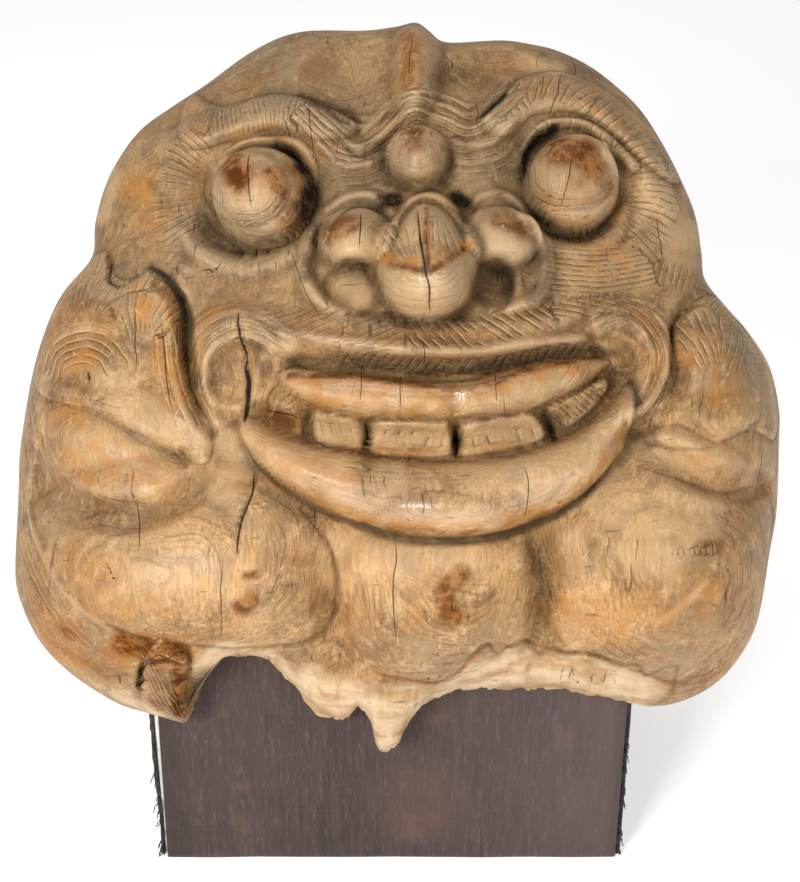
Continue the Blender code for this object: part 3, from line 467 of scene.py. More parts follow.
# Under each mark, from the crown down
TRACES = {
    Mark.STAIN_AND_SHADE: (
        Trace(12, 0.5, (408, 36, 412, 60, 410, 84)),
        Trace(20, 0.25, (480, 74, 510, 66)),
        Trace(20, 0.25, (310, 76, 326, 62)),
        Trace(16, 0.25, (244, 84, 264, 74)),
        Trace(8, 1.0, (406, 129, 418, 131)),
        Trace(10, 0.6, (412, 140, 414, 146)),
        Trace(20, 0.9, (560, 150, 582, 151, 592, 166)),
        Trace(15, 1.0, (230, 162, 241, 182)),
        # Painted shade on the right side of the left eye's ball
        Trace(9, 0.6, (296, 170, 302, 190, 298, 206, 286, 222)),
        Trace(11, 0.7, (592, 172, 606, 184)),
        Trace(9, 0.9, (272, 174, 280, 190)),
        Trace(22, 0.28, (236, 176, 264, 180)),
        Trace(14, 0.30, (194, 196, 190, 168)),
        Trace(2.6, 1.0, (426, 212, 426, 240, 428, 268)),
        Trace(11, 0.75, (500, 220, 522, 230)),
        Trace(13, 0.75, (332, 232, 350, 225)),
        Trace(4, 0.9, (390, 268, 410, 271, 426, 274, 444, 266, 462, 252)),
        Trace(8, 0.35, (62, 320, 82, 306, 106, 306)),
        Trace(12, 0.3, (300, 322, 360, 338, 420, 342, 500, 334)),
        Trace(34, 0.16, (66, 330, 100, 330)),
        Trace(3, 0.9, (290, 376, 357, 377, 400, 382, 451, 389, 490, 384, 530, 369, 572, 361)),
        Trace(9, 0.9, (270, 416, 290, 421)),
        Trace(4, 0.55, (364, 522, 400, 529, 450, 532, 500, 529, 546, 513, 590, 484)),
        Trace(9, 0.6, (700, 548, 716, 544)),
        Trace(16, 0.35, (305, 560, 316, 600)),
        Trace(10, 0.7, (462, 574, 446, 586, 446, 606, 454, 618)),
        Trace(5, 0.9, (248, 575, 257, 574)),
        Trace(11, 0.9, (243, 604, 252, 596)),
        Trace(26, 0.32, (44, 610, 70, 642, 104, 664)),
        Trace(7, 0.6, (60, 630, 72, 636)),
        Trace(15, 1.0, (124, 644, 150, 650, 174, 652)),
        Trace(9, 1.0, (181, 658, 182, 684, 180, 708)),
        Trace(16, 0.45, (152, 672, 164, 700)),
        Trace(2.5, 0.5, (382, 674, 436, 682, 464, 666, 487, 645, 512, 647, 526, 641, 553, 650, 604, 658,
            647, 674, 674, 684)),
    ),
    Mark.AMBER: (
        Trace(13, 0.8, (409, 40, 411, 62, 409, 84)),
        Trace(20, 0.5, (540, 90, 580, 94, 620, 120)),
        Trace(17, 0.5, (194, 108, 202, 130)),
        Trace(14, 0.5, (236, 142, 266, 138, 286, 142)),
        Trace(16, 0.5, (300, 142, 314, 160)),
        Trace(26, 0.7, (140, 186, 150, 214)),
        Trace(26, 0.45, (545, 208, 580, 218, 608, 206)),
        Trace(7, 1.0, (426, 214, 427, 250)),
        Trace(9, 1.0, (388, 262, 408, 266, 426, 270, 446, 260, 464, 248)),
        Trace(26, 0.5, (570, 262, 620, 262)),
        Trace(22, 0.8, (150, 300, 172, 350, 176, 392)),
        Trace(12, 0.6, (640, 322, 656, 352, 650, 384)),
        Trace(30, 0.5, (66, 330, 100, 330)),
        Trace(26, 0.6, (690, 350, 716, 360, 730, 396)),
        Trace(12, 0.45, (196, 356, 204, 322, 232, 310)),
        Trace(16, 0.9, (70, 364, 94, 356)),
        Trace(5, 1.0, (290, 381, 357, 382, 400, 387, 451, 393, 490, 388, 530, 373, 572, 365)),
        Trace(14, 0.8, (480, 390, 528, 374, 572, 366, 600, 366)),
        Trace(16, 0.7, (292, 396, 330, 398, 400, 402, 440, 406)),
        Trace(16, 0.7, (60, 410, 80, 416)),
        Trace(22, 0.6, (256, 428, 290, 456, 340, 476)),
        Trace(7, 0.6, (330, 446, 400, 454, 520, 448)),
        Trace(22, 0.6, (110, 458, 160, 478)),
        Trace(30, 0.4, (700, 460, 740, 468)),
        Trace(26, 0.6, (60, 470, 90, 480)),
        Trace(10, 1.0, (268, 474, 319, 505, 400, 526, 477, 528, 540, 510, 590, 480, 616, 438)),
        Trace(40, 0.4, (60, 560, 110, 590)),
        Trace(20, 0.5, (676, 590, 700, 606)),
        Trace(30, 0.5, (560, 600, 620, 620, 700, 600)),
        Trace(26, 0.9, (50, 626, 70, 650)),
        Trace(18, 1.0, (120, 656, 160, 650, 184, 660)),
    ),
    # Painted shadow in the deep pits round the eyes, the nose, the teeth and the mouth
    Mark.PAINTED_SHADOW: (
        Trace(18, 0.30, (448, 82, 478, 78)),
        Trace(5, 0.6, (300, 96, 322, 102, 344, 112, 358, 122)),
        Trace(8, 0.5, (314, 104, 340, 112, 356, 120)),
        Trace(4, 1.0, (483, 117, 494, 107, 504, 97)),
        Trace(6, 1.0, (276, 146, 290, 153, 303, 166, 310, 182, 309, 198, 303, 212)),
        Trace(8, 0.5, (448, 150, 452, 176)),
        Trace(8, 0.5, (380, 160, 386, 180)),
        Trace(8, 1.0, (519, 172, 526, 154, 538, 138, 552, 130)),
        Trace(7, 0.35, (150, 182, 168, 206)),
        Trace(8, 0.6, (388, 184, 416, 190, 446, 184)),
        Trace(12, 1.0, (457, 197, 467, 204)),
        Trace(11, 1.0, (384, 200, 396, 199)),
        Trace(9, 0.7, (200, 216, 212, 236, 236, 250)),
        Trace(6, 0.7, (530, 216, 544, 230, 562, 238, 586, 238, 608, 226)),
        Trace(6, 0.6, (546, 250, 544, 280, 530, 300)),
        Trace(6, 0.8, (346, 266, 362, 264)),
        Trace(6, 0.8, (152, 268, 170, 280, 182, 300)),
        Trace(9, 0.7, (498, 268, 508, 278, 506, 294)),
        Trace(6, 0.7, (306, 276, 308, 250, 318, 224)),
        Trace(7, 0.6, (188, 312, 192, 350, 196, 384)),
        Trace(10, 0.5, (360, 318, 420, 326, 460, 318)),
        Trace(6, 0.7, (290, 362, 357, 364, 400, 368, 464, 371, 528, 360, 579, 350, 612, 356)),
        Trace(9, 0.7, (614, 374, 628, 384, 634, 402)),
        Trace(4, 0.3, (309, 416, 307, 434)),
        Trace(4, 1.0, (550, 424, 555, 438)),
        Trace(4, 0.8, (366, 430, 367, 446)),
        Trace(10, 0.6, (640, 436, 650, 444)),
        Trace(4, 1.0, (456, 438, 457, 454)),
    ),
    Mark.PALE: (
        Trace(10, 0.5, (520, 62, 556, 70)),
        # Painted highlight on the right eye
        Trace(12, 0.8, (600, 148, 612, 166)),
        Trace(11, 0.45, (114, 176, 104, 214)),
        Trace(16, 0.5, (236, 192, 262, 196)),
        Trace(34, 0.7, (664, 200, 682, 236)),
        Trace(12, 0.5, (556, 212, 592, 214)),
        Trace(14, 0.4, (404, 236, 446, 236)),
        Trace(18, 0.5, (490, 240, 512, 244)),
        Trace(16, 0.5, (352, 244, 368, 246)),
        Trace(24, 0.5, (576, 268, 632, 270)),
        Trace(15, 0.8, (352, 284, 362, 296)),
        # Painted highlight on the tip of the nose
        Trace(13, 0.35, (416, 284, 444, 284)),
        Trace(14, 0.6, (760, 340, 776, 380)),
        Trace(6, 0.6, (58, 342, 82, 328, 108, 332)),
        Trace(18, 0.5, (110, 386, 140, 404, 176, 430)),
        Trace(14, 0.7, (322, 428, 352, 434)),
        Trace(16, 0.7, (386, 436, 440, 438)),
        Trace(15, 0.7, (474, 436, 534, 430)),
        Trace(30, 0.4, (90, 440, 150, 464)),
        Trace(22, 0.6, (206, 440, 230, 452, 222, 480)),
        Trace(22, 0.45, (680, 440, 722, 450)),
        Trace(14, 0.6, (640, 452, 700, 470)),
        Trace(34, 0.6, (600, 480, 640, 520, 700, 520)),
        Trace(22, 0.6, (630, 556, 664, 556)),
        Trace(40, 0.3, (150, 560, 230, 572)),
        Trace(36, 0.5, (330, 560, 390, 560, 460, 548)),
        Trace(4, 0.5, (655, 622, 670, 612, 687, 599, 703, 583)),
    ),
    Mark.RAW: (
        Trace(10, 0.9, (198, 672, 206, 660, 230, 650, 266, 656, 290, 676)),
        Trace(22, 1.0, (290, 680, 330, 694, 372, 704, 400, 704, 440, 700, 480, 680, 520, 668, 560, 674,
            600, 682, 640, 694)),
        Trace(11, 0.8, (116, 690, 134, 702, 158, 714)),
        Trace(24, 1.0, (384, 716, 388, 744)),
    ),
    Mark.POLISH: (
        Trace(10, 0.9, (604, 154, 614, 174)),
        Trace(12, 0.8, (416, 280, 446, 280)),
        Trace(7, 1.0, (330, 386, 380, 390, 450, 396, 500, 384, 540, 374)),
        Trace(12, 0.6, (114, 456, 164, 474)),
        Trace(14, 1.0, (300, 486, 360, 506, 420, 514, 500, 510, 560, 486)),
        Trace(40, 0.4, (130, 570, 240, 590)),
    ),
}

CHECKS = tuple(Check(width, points) for width, paths in (
    (6.0, ((245, 362, 250, 382, 249, 398, 246, 414, 244, 426),)),
    (2.4, ((238, 312, 241, 334, 246, 350, 247, 368), (243, 248, 241, 257), (256, 249, 255, 258),
        (268, 247, 268, 255))),
    (2.2, ((255, 470, 253, 490, 246, 508, 240, 526, 238, 556),
        (417, 210, 418, 232, 423, 256, 427, 284, 430, 316), (90, 372, 91, 382))),
    (2.0, ((143, 656, 146, 664, 140, 673, 144, 680, 137, 687, 147, 690),)),
    (1.8, ((545, 229, 549, 237), (556, 233, 558, 241), (567, 235, 569, 244), (577, 235, 580, 244),
        (587, 234, 591, 242), (597, 231, 602, 238), (704, 290, 712, 296, 728, 306))),
    (1.6, ((488, 112, 498, 102, 508, 90),)),
    (1.4, ((250, 152, 248, 184, 252, 212), (362, 212, 359, 248), (560, 74, 557, 92, 548, 118),
        (152, 659, 160, 655, 168, 658, 180, 650, 187, 655), (268, 658, 264, 672), (236, 652, 237, 664))),
    (1.2, ((572, 158, 569, 180, 560, 209), (393, 534, 397, 560, 393, 590, 396, 644),
        (524, 464, 526, 490, 522, 518), (570, 56, 576, 76), (656, 216, 660, 244, 664, 262),
        (300, 420, 285, 414, 268, 410), (762, 446, 758, 470, 760, 500), (112, 258, 110, 272, 112, 288),
        (710, 540, 712, 556), (138, 500, 140, 552), (207, 264, 214, 272, 222, 262),
        (201, 271, 212, 268, 220, 270))),
    (1.1, ((312, 98, 311, 124, 313, 160), (164, 320, 168, 380, 176, 420), (136, 306, 138, 372),
        (107, 566, 114, 578, 118, 572))),
    (1.0, ((503, 396, 504, 416), (292, 250, 296, 262, 305, 290, 318, 316), (424, 340, 423, 368),
        (286, 120, 290, 140), (542, 78, 540, 100), (476, 100, 478, 130), (60, 536, 52, 570, 48, 600),
        (104, 560, 112, 570, 118, 582), (730, 640, 700, 664), (412, 36, 409, 76), (362, 368, 361, 404),
        (402, 372, 400, 410), (493, 372, 494, 404), (224, 556, 222, 640), (158, 672, 164, 690, 174, 712),
        (170, 668, 176, 690, 182, 708))),
) for points in paths)


@dataclass(frozen=True)
class Sizes:
    """Driving sizes, the same as the solids'."""

    half_wide: float = 0.250
    half_tall: float = 0.233
    depth: float = 0.125
    rear: float = 0.060
    wall: float = 0.024
    lean: float = math.radians(32.0)
    above_table: float = 0.247
    centre_up: float = 0.10
    open_below: float = 0.86
    deepest: float = 0.55
    view_wide: float = 800.0
    view_tall: float = 882.0
    view_distance: float = 1.25
    view_pixel: float = 0.000662


def smoothstep(value: Array, low: float, high: float) -> Array:
    """Give 0 below low, 1 above high, and an even rise between them."""
    part = np.clip((value - low) / (high - low), 0.0, 1.0)
    return part * part * (3 - 2 * part)


def smooth_path(points: Array, closed: bool = False, steps: int = 6) -> Array:
    """Draw a Catmull-Rom curve through points.

    Args:
        points: an array of (u, v) rows.
        closed: whether the curve comes back to its start.
        steps: how many points to draw for each stretch.

    Returns:
        The curve's points.
    """
    ends = np.asarray(points, dtype=float)
    if closed:
        line = np.concatenate([ends[-1:], ends, ends[:2]])
    else:
        line = np.concatenate([2 * ends[:1] - ends[1:2], ends, 2 * ends[-1:] - ends[-2:-1]])
    part = np.arange(steps)[:, None] / steps
    curve = []
    for before, start, end, after in zip(line, line[1:], line[2:], line[3:]):
        curve.append(0.5 * (
            2 * start + (end - before) * part
            + (2 * before - 5 * start + 4 * end - after) * part**2
            + (3 * start - before - 3 * end + after) * part**3
        ))
    if not closed:
        curve.append(ends[-1:])
    return np.concatenate(curve)


@dataclass
class Nearness:
    """How points lie to a path: distance, signed side, and distance run along it."""

    gap: Array
    side: Array
    run: Array
    share: Array


def near_path(u: Array, v: Array, path: Array, reach: float) -> tuple:
    """Measure the points that lie within reach of a path.

    Args:
        u: places across the face.
        v: places up the face.
        path: the path's points.
        reach: how far from the path to measure.

    Returns:
        The indices of the points in reach, and their Nearness.
    """
    low = path.min(axis=0) - reach
    high = path.max(axis=0) + reach
    inside = np.flatnonzero((u > low[0]) & (u < high[0]) & (v > low[1]) & (v < high[1]))
    pu = u[inside]
    pv = v[inside]
    nearest = np.full(pu.shape, np.inf)
    side = np.zeros(pu.shape)
    run = np.zeros(pu.shape)
    lengths = np.hypot(*np.diff(path, axis=0).T)
    done = np.concatenate([[0.0], np.cumsum(lengths)])
    for index, (start, end) in enumerate(zip(path, path[1:])):
        way = end - start
        part = ((pu - start[0]) * way[0] + (pv - start[1]) * way[1]) / max(way @ way, 1e-12)
        part = np.clip(part, 0.0, 1.0)
        du = pu - start[0] - part * way[0]
        dv = pv - start[1] - part * way[1]
        gap = np.hypot(du, dv)
        closer = gap < nearest
        nearest = np.where(closer, gap, nearest)
        cross = (way[0] * dv - way[1] * du) / max(lengths[index], 1e-9)
        side = np.where(closer, cross, side)
        run = np.where(closer, done[index] + part * lengths[index], run)
    return inside, Nearness(nearest, side, run, run / done[-1])


def enclosed(u: Array, v: Array, outline: Array) -> Array:
    """Tell which points lie inside a closed outline."""
    within = np.zeros(u.shape, dtype=bool)
    for start, end in zip(outline, outline[1:]):
        spans = (start[1] > v) != (end[1] > v)
        height = end[1] - start[1]
        if height != 0:
            crossing = start[0] + (end[0] - start[0]) * (v - start[1]) / height
            within ^= spans & (u < crossing)
    return within


class RoughNoise:
    """Seeded smooth noise on a plane, from a lattice of fixed random values."""

    def __init__(self, seed: int, size: int = 64) -> None:
        """Draw the lattice."""
        self.size = size
        self.values = np.random.default_rng(seed).uniform(-1.0, 1.0, (size, size))

    def at(self, u: Array, v: Array, grain: float) -> Array:
        """Give the noise at places of the face, for lumps about grain metres across."""
        x = u / grain
        y = v / grain
        column = np.floor(x).astype(int)
        row = np.floor(y).astype(int)
        fx = x - column
        fy = y - row
        fx = fx * fx * (3 - 2 * fx)
        fy = fy * fy * (3 - 2 * fy)
        left = self.values[row % self.size, column % self.size]
        right = self.values[row % self.size, (column + 1) % self.size]
        left_up = self.values[(row + 1) % self.size, column % self.size]
        right_up = self.values[(row + 1) % self.size, (column + 1) % self.size]
        low = left + (right - left) * fx
        high = left_up + (right_up - left_up) * fx
        return low + (high - low) * fy


class Edge:
    """The mask's outline as a radius at each angle, sharp as it is and smoothed."""

    samples = 1440

    def __init__(self, sizes: Sizes) -> None:
        """Trace the outline round its centre."""
        scaled = np.reshape(OUTLINE, (-1, 2)) * (sizes.half_wide, sizes.half_tall)
        curve = smooth_path(scaled, closed=True)[::-1]
        curve = curve - (0.0, sizes.centre_up * sizes.half_tall)
        angle = np.unwrap(np.arctan2(curve[:, 1], curve[:, 0]))
        angle = np.maximum.accumulate(angle) + np.arange(len(angle)) * 1e-7
        radius = np.hypot(curve[:, 0], curve[:, 1])
        self.angle = np.linspace(-math.pi, math.pi, self.samples, endpoint=False)
        traced = np.interp(self.angle, angle, radius, period=2 * math.pi)
        self.sharp = self.rounded(traced, 180)
        self.soft = self.rounded(traced, 16)

    def rounded(self, radius: Array, part: int) -> Array:
        """Even out the radii over one part of the whole turn."""
        spread = np.cos(np.linspace(-math.pi, math.pi, self.samples // part)) + 1
        around = np.concatenate([radius, radius, radius])
        smooth = np.convolve(around, spread / spread.sum(), mode="same")
        return smooth[self.samples:2 * self.samples]

    def radius(self, angle: Array, soft: bool = False) -> Array:
        """Give the distance from the outline's centre to the edge."""
        table = self.soft if soft else self.sharp
        return np.interp(angle, self.angle, table, period=2 * math.pi)


class Carving:
    """The height of the carved face and everything that is cut, drawn or stained on it."""

    survey_cells = 260
    pixel_share = 0.9
    check_depth = 0.006
    widest_hair_check = 2.0
    lumps = ((0.0011, 1.0, 0.0, 0.0, 0.034), (0.0005, 1.0, 0.3, 0.0, 0.013),
             (0.0002, 1.8, 0.0, 0.2, 0.006))

    def __init__(self, sizes: Sizes, edge: Edge) -> None:
        """Keep the sizes and the outline, and survey the large forms."""
        self.sizes = sizes
        self.edge = edge
        self.noise = RoughNoise(11)
        across = np.linspace(-1.15, 1.15, self.survey_cells) * sizes.half_wide
        up = np.linspace(-1.15, 1.35, self.survey_cells) * sizes.half_tall
        self.corner = np.array([across[0], up[0]])
        self.step = np.array([across[1] - across[0], up[1] - up[0]])
        u, v = np.meshgrid(across, up)
        self.survey = self.surface(u.ravel(), v.ravel()).reshape(*u.shape, 3)

    def dome(self, share: Array, angle: Array) -> Array:
        """Give the plain face's height at a share of the way to its edge."""
        power = 2.3 + 2.7 * smoothstep(-np.sin(angle), 0.2, 0.8)
        return self.sizes.depth * np.clip(1 - share**power, 0.0, 1.0) ** (1 / power)

    def oval(self, u: Array, v: Array, row: Swell | Ball) -> Array:
        """Give 1 at an oval's centre, falling to 0 at its edge."""
        across = (u - row.across * self.sizes.half_wide) / (row.half_wide * self.sizes.half_wide)
        up = (v - row.up * self.sizes.half_tall) / (row.half_tall * self.sizes.half_tall)
        return np.clip(1 - across**2 - up**2, 0.0, 1.0)

    def ridge(self, u: Array, v: Array, path: Array, reach: float,
              taper: float) -> tuple:
        """Round a ridge over a path.

        Args:
            u: places across the face.
            v: places up the face.
            path: the ridge's middle line.
            reach: its half width.
            taper: how much narrower it is at its ends.

        Returns:
            The indices of the points on it, and its height there, 1 at its crest.
        """
        inside, near = near_path(u, v, path, reach)
        narrowed = 1 - taper * np.abs(2 * near.share - 1) ** 3
        share = np.clip(near.gap / (reach * narrowed), 0.0, 1.0)
        return inside, narrowed * (1 - share**2) ** 1.2

    def main_forms(self, u: Array, v: Array) -> tuple:
        """Work out the large forms.

        Args:
            u: places across the face.
            v: places up the face.

        Returns:
            The rise out of the plain face, and the lean across and up it.
        """
        size = self.sizes
        rise = np.zeros(u.shape)
        for row in SWELLS:
            rise += row.rise * size.depth * self.oval(u, v, row) ** row.power
        for row in STROKES:
            places = np.reshape(row.points, (-1, 2)) * (size.half_wide, size.half_tall)
            path = smooth_path(places)
            inside, shown = self.ridge(u, v, path, row.half_wide * size.half_wide, row.taper)
            rise[inside] += row.rise * size.depth * shown
        lean_u = np.zeros(u.shape)
        lean_v = np.zeros(u.shape)
        for row in BALLS:
            out = row.rise * size.depth * self.oval(u, v, row) ** row.power
            rise += out
            lean_u += row.lean_across * out
            lean_v += row.lean_up * out
        return rise, lean_u, lean_v

    def surface(self, u: Array, v: Array) -> Array:
        """Give where the large forms put places of the face, as (u, v, w) rows."""
        centre = self.sizes.centre_up * self.sizes.half_tall
        angle = np.arctan2(v - centre, u)
        share = np.hypot(u, v - centre) / self.edge.radius(angle, soft=True)
        rise, lean_u, lean_v = self.main_forms(u, v)
        height = self.dome(np.clip(share, 0.0, 0.985), angle) + rise
        return np.stack([u + lean_u, v + lean_v, height], axis=1)

    def surveyed(self, places: Array) -> Array:
        """Read the survey at (u, v) places, as (u, v, w) rows."""
        spot = np.clip((places - self.corner) / self.step, 0.0, self.survey_cells - 1.001)
        column, row = spot.astype(int).T
        fx, fy = (spot - spot.astype(int)).T[:, :, None]
        low = self.survey[row, column] * (1 - fx) + self.survey[row, column + 1] * fx
        high = self.survey[row + 1, column] * (1 - fx) + self.survey[row + 1, column + 1] * fx
        return low * (1 - fy) + high * fy

    def from_view(self, points: tuple, closed: bool = False) -> Array:
        """Lay places of the front view on the face.

        Args:
            points: places in the view's frame, as x, y, x, y and so on.
            closed: whether they go round to their start.

        Returns:
            The smooth (u, v) path through them.
        """
        size = self.sizes
        seen = np.reshape(points, (-1, 2)).astype(float)
        offset = (seen - (size.view_wide / 2, size.view_tall / 2)) * (1, -1) * size.view_pixel
        place = offset * (1 - size.depth / size.view_distance)
        for _ in range(8):
            found = self.surveyed(place)
            wanted = offset * (1 - found[:, 2:] / size.view_distance)
            place = place + 0.6 * (wanted - found[:, :2])
        return smooth_path(place, closed)

    def pixel(self, count: float) -> float:
        """Give a length of the view in metres on the face."""
        return count * self.sizes.view_pixel * self.pixel_share

    def fine_forms(self, u: Array, v: Array) -> Array:
        """Give the rise of the fine cuts, the cracks and the tool marks."""
        rise = np.zeros(u.shape)
        for row in PLATES:
            outline = self.from_view(row.points, closed=True)
            closed = np.concatenate([outline, outline[:1]])
            inside, near = near_path(u, v, closed, 0.0)
            within = enclosed(u[inside], v[inside], closed)
            part = np.clip(near.gap / row.soft, 0.0, 1.0) * within
            rise[inside] += row.rise * (1 - (1 - part) ** 2) ** row.power
        for row in CUTS:
            inside, shown = self.ridge(u, v, self.from_view(row.points),
                                       self.pixel(row.half_wide), row.taper)
            rise[inside] += row.rise * shown
        for row in CHECKS:
            if row.width < self.widest_hair_check:
                continue
            reach = self.pixel(row.width) * 0.9
            inside, near = near_path(u, v, self.from_view(row.points), reach)
            narrowed = np.sqrt(np.clip(1 - (2 * near.share - 1) ** 2, 0.0, 1.0))
            opened = narrowed * np.clip(1 - near.gap / reach, 0.0, 1.0)
            rise[inside] -= self.check_depth * opened
        for high, stretch, right, up, grain in self.lumps:
            rise += high * self.noise.at(u * stretch + right, v + up, grain)
        return rise

    def lines(self, u: Array, v: Array) -> tuple:
        """Work out the hair and wrinkle lines.

        Args:
            u: places across the face.
            v: places up the face.

        Returns:
            Their phase, which counts lines, and their weight.
        """
        phase = np.zeros(u.shape)
        weight = np.zeros(u.shape)
        for row in BANDS:
            reach = self.pixel(row.half_wide)
            inside, near = near_path(u, v, self.from_view(row.points), reach)
            slant = math.radians(row.slant)
            count = (near.run * math.cos(slant) + near.side * math.sin(slant))
            count = count / self.pixel(row.spacing)
            ends = smoothstep(near.share, 0.0, 0.06) * (1 - smoothstep(near.share, 0.94, 1.0))
            strong = row.depth * ends * (1 - smoothstep(near.gap / reach, 0.55, 1.0))
            better = strong > weight[inside]
            chosen = inside[better]
            phase[chosen] = count[better]
            weight[chosen] = strong[better]
        return phase, weight

    def beside(self, u: Array, v: Array, rows: tuple, reach: float) -> tuple:
        """Work out how places lie to the nearest of several paths.

        Args:
            u: places across the face.
            v: places up the face.
            rows: the half width in pixels, the strength and the points of each path.
            reach: how far from a path to measure, in pixels.

        Returns:
            The signed distance in half widths, and the strength of the path there.
        """
        side = np.full(u.shape, 9.0)
        weight = np.zeros(u.shape)
        nearest = np.full(u.shape, np.inf)
        far = self.pixel(reach)
        for half_wide, strength, points in rows:
            inside, near = near_path(u, v, self.from_view(points), far)
            wander = 0.0009 * self.noise.at(u[inside], v[inside] + 0.5, 0.009)
            narrowed = np.clip(1 - (2 * near.share - 1) ** 4, 0.05, 1.0)
            across = (near.side + wander) / (self.pixel(half_wide) * narrowed)
            ends = smoothstep(near.share, 0.0, 0.03) * (1 - smoothstep(near.share, 0.97, 1.0))
            strong = strength * ends * (1 - smoothstep(near.gap / far, 0.7, 1.0))
            closer = near.gap < nearest[inside]
            chosen = inside[closer]
            nearest[chosen] = near.gap[closer]
            side[chosen] = across[closer]
            weight[chosen] = strong[closer]
        return side, weight

    def mark(self, u: Array, v: Array, kind: Mark) -> Array:
        """Give how strongly one kind of mark shows at each place."""
        shown = np.zeros(u.shape)
        for row in TRACES[kind]:
            reach = self.pixel(row.half_wide) * 1.35
            inside, near = near_path(u, v, self.from_view(row.points), reach)
            ragged = near.gap / reach + 0.22 * self.noise.at(u[inside], v[inside], 0.008)
            strong = row.strength * (1 - smoothstep(ragged, 0.25, 1.0))
            shown[inside] = np.maximum(shown[inside], strong)
        return shown


class Sketch:
    """Short calls that lay nodes in a material or a node group."""

    def __init__(self, tree: Tree) -> None:
        """Keep the tree that the nodes go into."""
        self.tree = tree

    def node(self, kind: str, values: dict | None = None, **settings: object) -> bpy.types.Node:
        """Add a node with its settings, and feed its inputs by name."""
        made = self.tree.nodes.new(kind)
        for name, value in settings.items():
            setattr(made, name, value)
        for name, value in (values or {}).items():
            self.feed(made.inputs[name], value)
        return made

    def feed(self, socket: Socket, value: object) -> None:
        """Link a socket to another, or set its value."""
        if isinstance(value, Socket):
            self.tree.links.new(value, socket)
        elif isinstance(value, tuple) and len(value) == 3 and socket.type == "RGBA":
            socket.default_value = (*value, 1.0)
        else:
            socket.default_value = value

    def math(self, operation: str, one: object, two: object = 0.0, clamp: bool = False) -> Socket:
        """Give the result of a Math node."""
        made = self.node("ShaderNodeMath", operation=operation, use_clamp=clamp)
        self.feed(made.inputs[0], one)
        self.feed(made.inputs[1], two)
        return made.outputs[0]

    def times(self, one: object, two: object) -> Socket:
        """Give the product of two values."""
        return self.math("MULTIPLY", one, two)

    def plus(self, one: object, two: object, clamp: bool = False) -> Socket:
        """Give the sum of two values."""
        return self.math("ADD", one, two, clamp)

    def total(self, rows: tuple) -> Socket:
        """Add up values, each times its share."""
        value, share = rows[0]
        found = self.times(value, share)
        for value, share in rows[1:]:
            found = self.plus(found, self.times(value, share))
        return found

    def mix(self, factor: object, one: object, two: object) -> Socket:
        """Give the colour between two colours."""
        made = self.node("ShaderNodeMix", data_type="RGBA", blend_type="MIX")
        for index, value in ((0, factor), (6, one), (7, two)):
            self.feed(made.inputs[index], value)
        return made.outputs[2]

    def layers(self, colour: object, rows: tuple) -> Socket:
        """Lay colours over a colour in turn.

        Args:
            colour: what lies under them all.
            rows: the mask, the strength and the colour of each layer.

        Returns:
            The colour with its layers.
        """
        for mask, strength, other in rows:
            shown = mask if strength == 1 else self.times(mask, strength)
            colour = self.mix(shown, colour, other)
        return colour

    def span(self, value: object, low: float, high: float, start: float = 0.0,
             end: float = 1.0) -> Socket:
        """Give a value mapped from one range to another, smoothly and clamped."""
        made = self.node("ShaderNodeMapRange", interpolation_type="SMOOTHSTEP")
        for socket, given in zip(made.inputs, (value, low, high, start, end)):
            self.feed(socket, given)
        return made.outputs[0]

    def attribute(self, name: str, vector: bool = False) -> Socket:
        """Give a vertex attribute's value."""
        made = self.node("ShaderNodeAttribute", attribute_name=name)
        return made.outputs["Vector" if vector else "Fac"]

    def noise(self, vector: object, scale: float, detail: float = 4.0, rough: float = 0.55,
              distort: float = 0.0) -> Socket:
        """Give the value of a noise texture."""
        values = {"Vector": vector, "Scale": scale, "Detail": detail, "Roughness": rough,
                  "Distortion": distort}
        return self.node("ShaderNodeTexNoise", values).outputs[0]

    def patches(self, vector: object, grain: tuple, low: float, high: float, most: float = 1.0,
                least: float = 0.0) -> Socket:
        """Give soft patches.

        Args:
            vector: where to read their noise.
            grain: the noise's scale, detail, roughness and distortion.
            low: the noise where they begin.
            high: the noise where they are full.
            most: their strength where full.
            least: their strength outside.

        Returns:
            Their strength.
        """
        return self.span(self.noise(vector, *grain), low, high, least, most)

    def stretch(self, vector: object, scale: tuple) -> Socket:
        """Give a vector scaled along each axis."""
        return self.node("ShaderNodeMapping", {"Vector": vector, "Scale": scale}).outputs[0]

    def axes(self, vector: object) -> tuple:
        """Give a vector's X, Y and Z."""
        return tuple(self.node("ShaderNodeSeparateXYZ", {"Vector": vector}).outputs)

    def bump(self, shader: bpy.types.Node, height: object, strength: float,
             distance: float = 0.001) -> None:
        """Tilt a shader's normals by a height."""
        values = {"Strength": strength, "Distance": distance, "Height": height}
        made = self.node("ShaderNodeBump", values)
        self.feed(shader.inputs["Normal"], made.outputs[0])


def new_group(name: str, takes: str, gives: str) -> tuple:
    """Start a shader node group, which takes a place and numbers and gives numbers.

    Args:
        name: the group's name.
        takes: the names of its numbers, besides its place.
        gives: the names of its outputs.

    Returns:
        The group, its Sketch, and its inputs and outputs by name.
    """
    group = bpy.data.node_groups.new(name, "ShaderNodeTree")
    group.interface.new_socket(name="Place", in_out="INPUT", socket_type="NodeSocketVector")
    for labels, way in ((takes, "INPUT"), (gives, "OUTPUT")):
        for label in labels.split():
            group.interface.new_socket(name=label, in_out=way, socket_type="NodeSocketFloat")
    sketch = Sketch(group)
    taken = sketch.node("NodeGroupInput").outputs
    given = sketch.node("NodeGroupOutput").inputs
    return group, sketch, taken, given


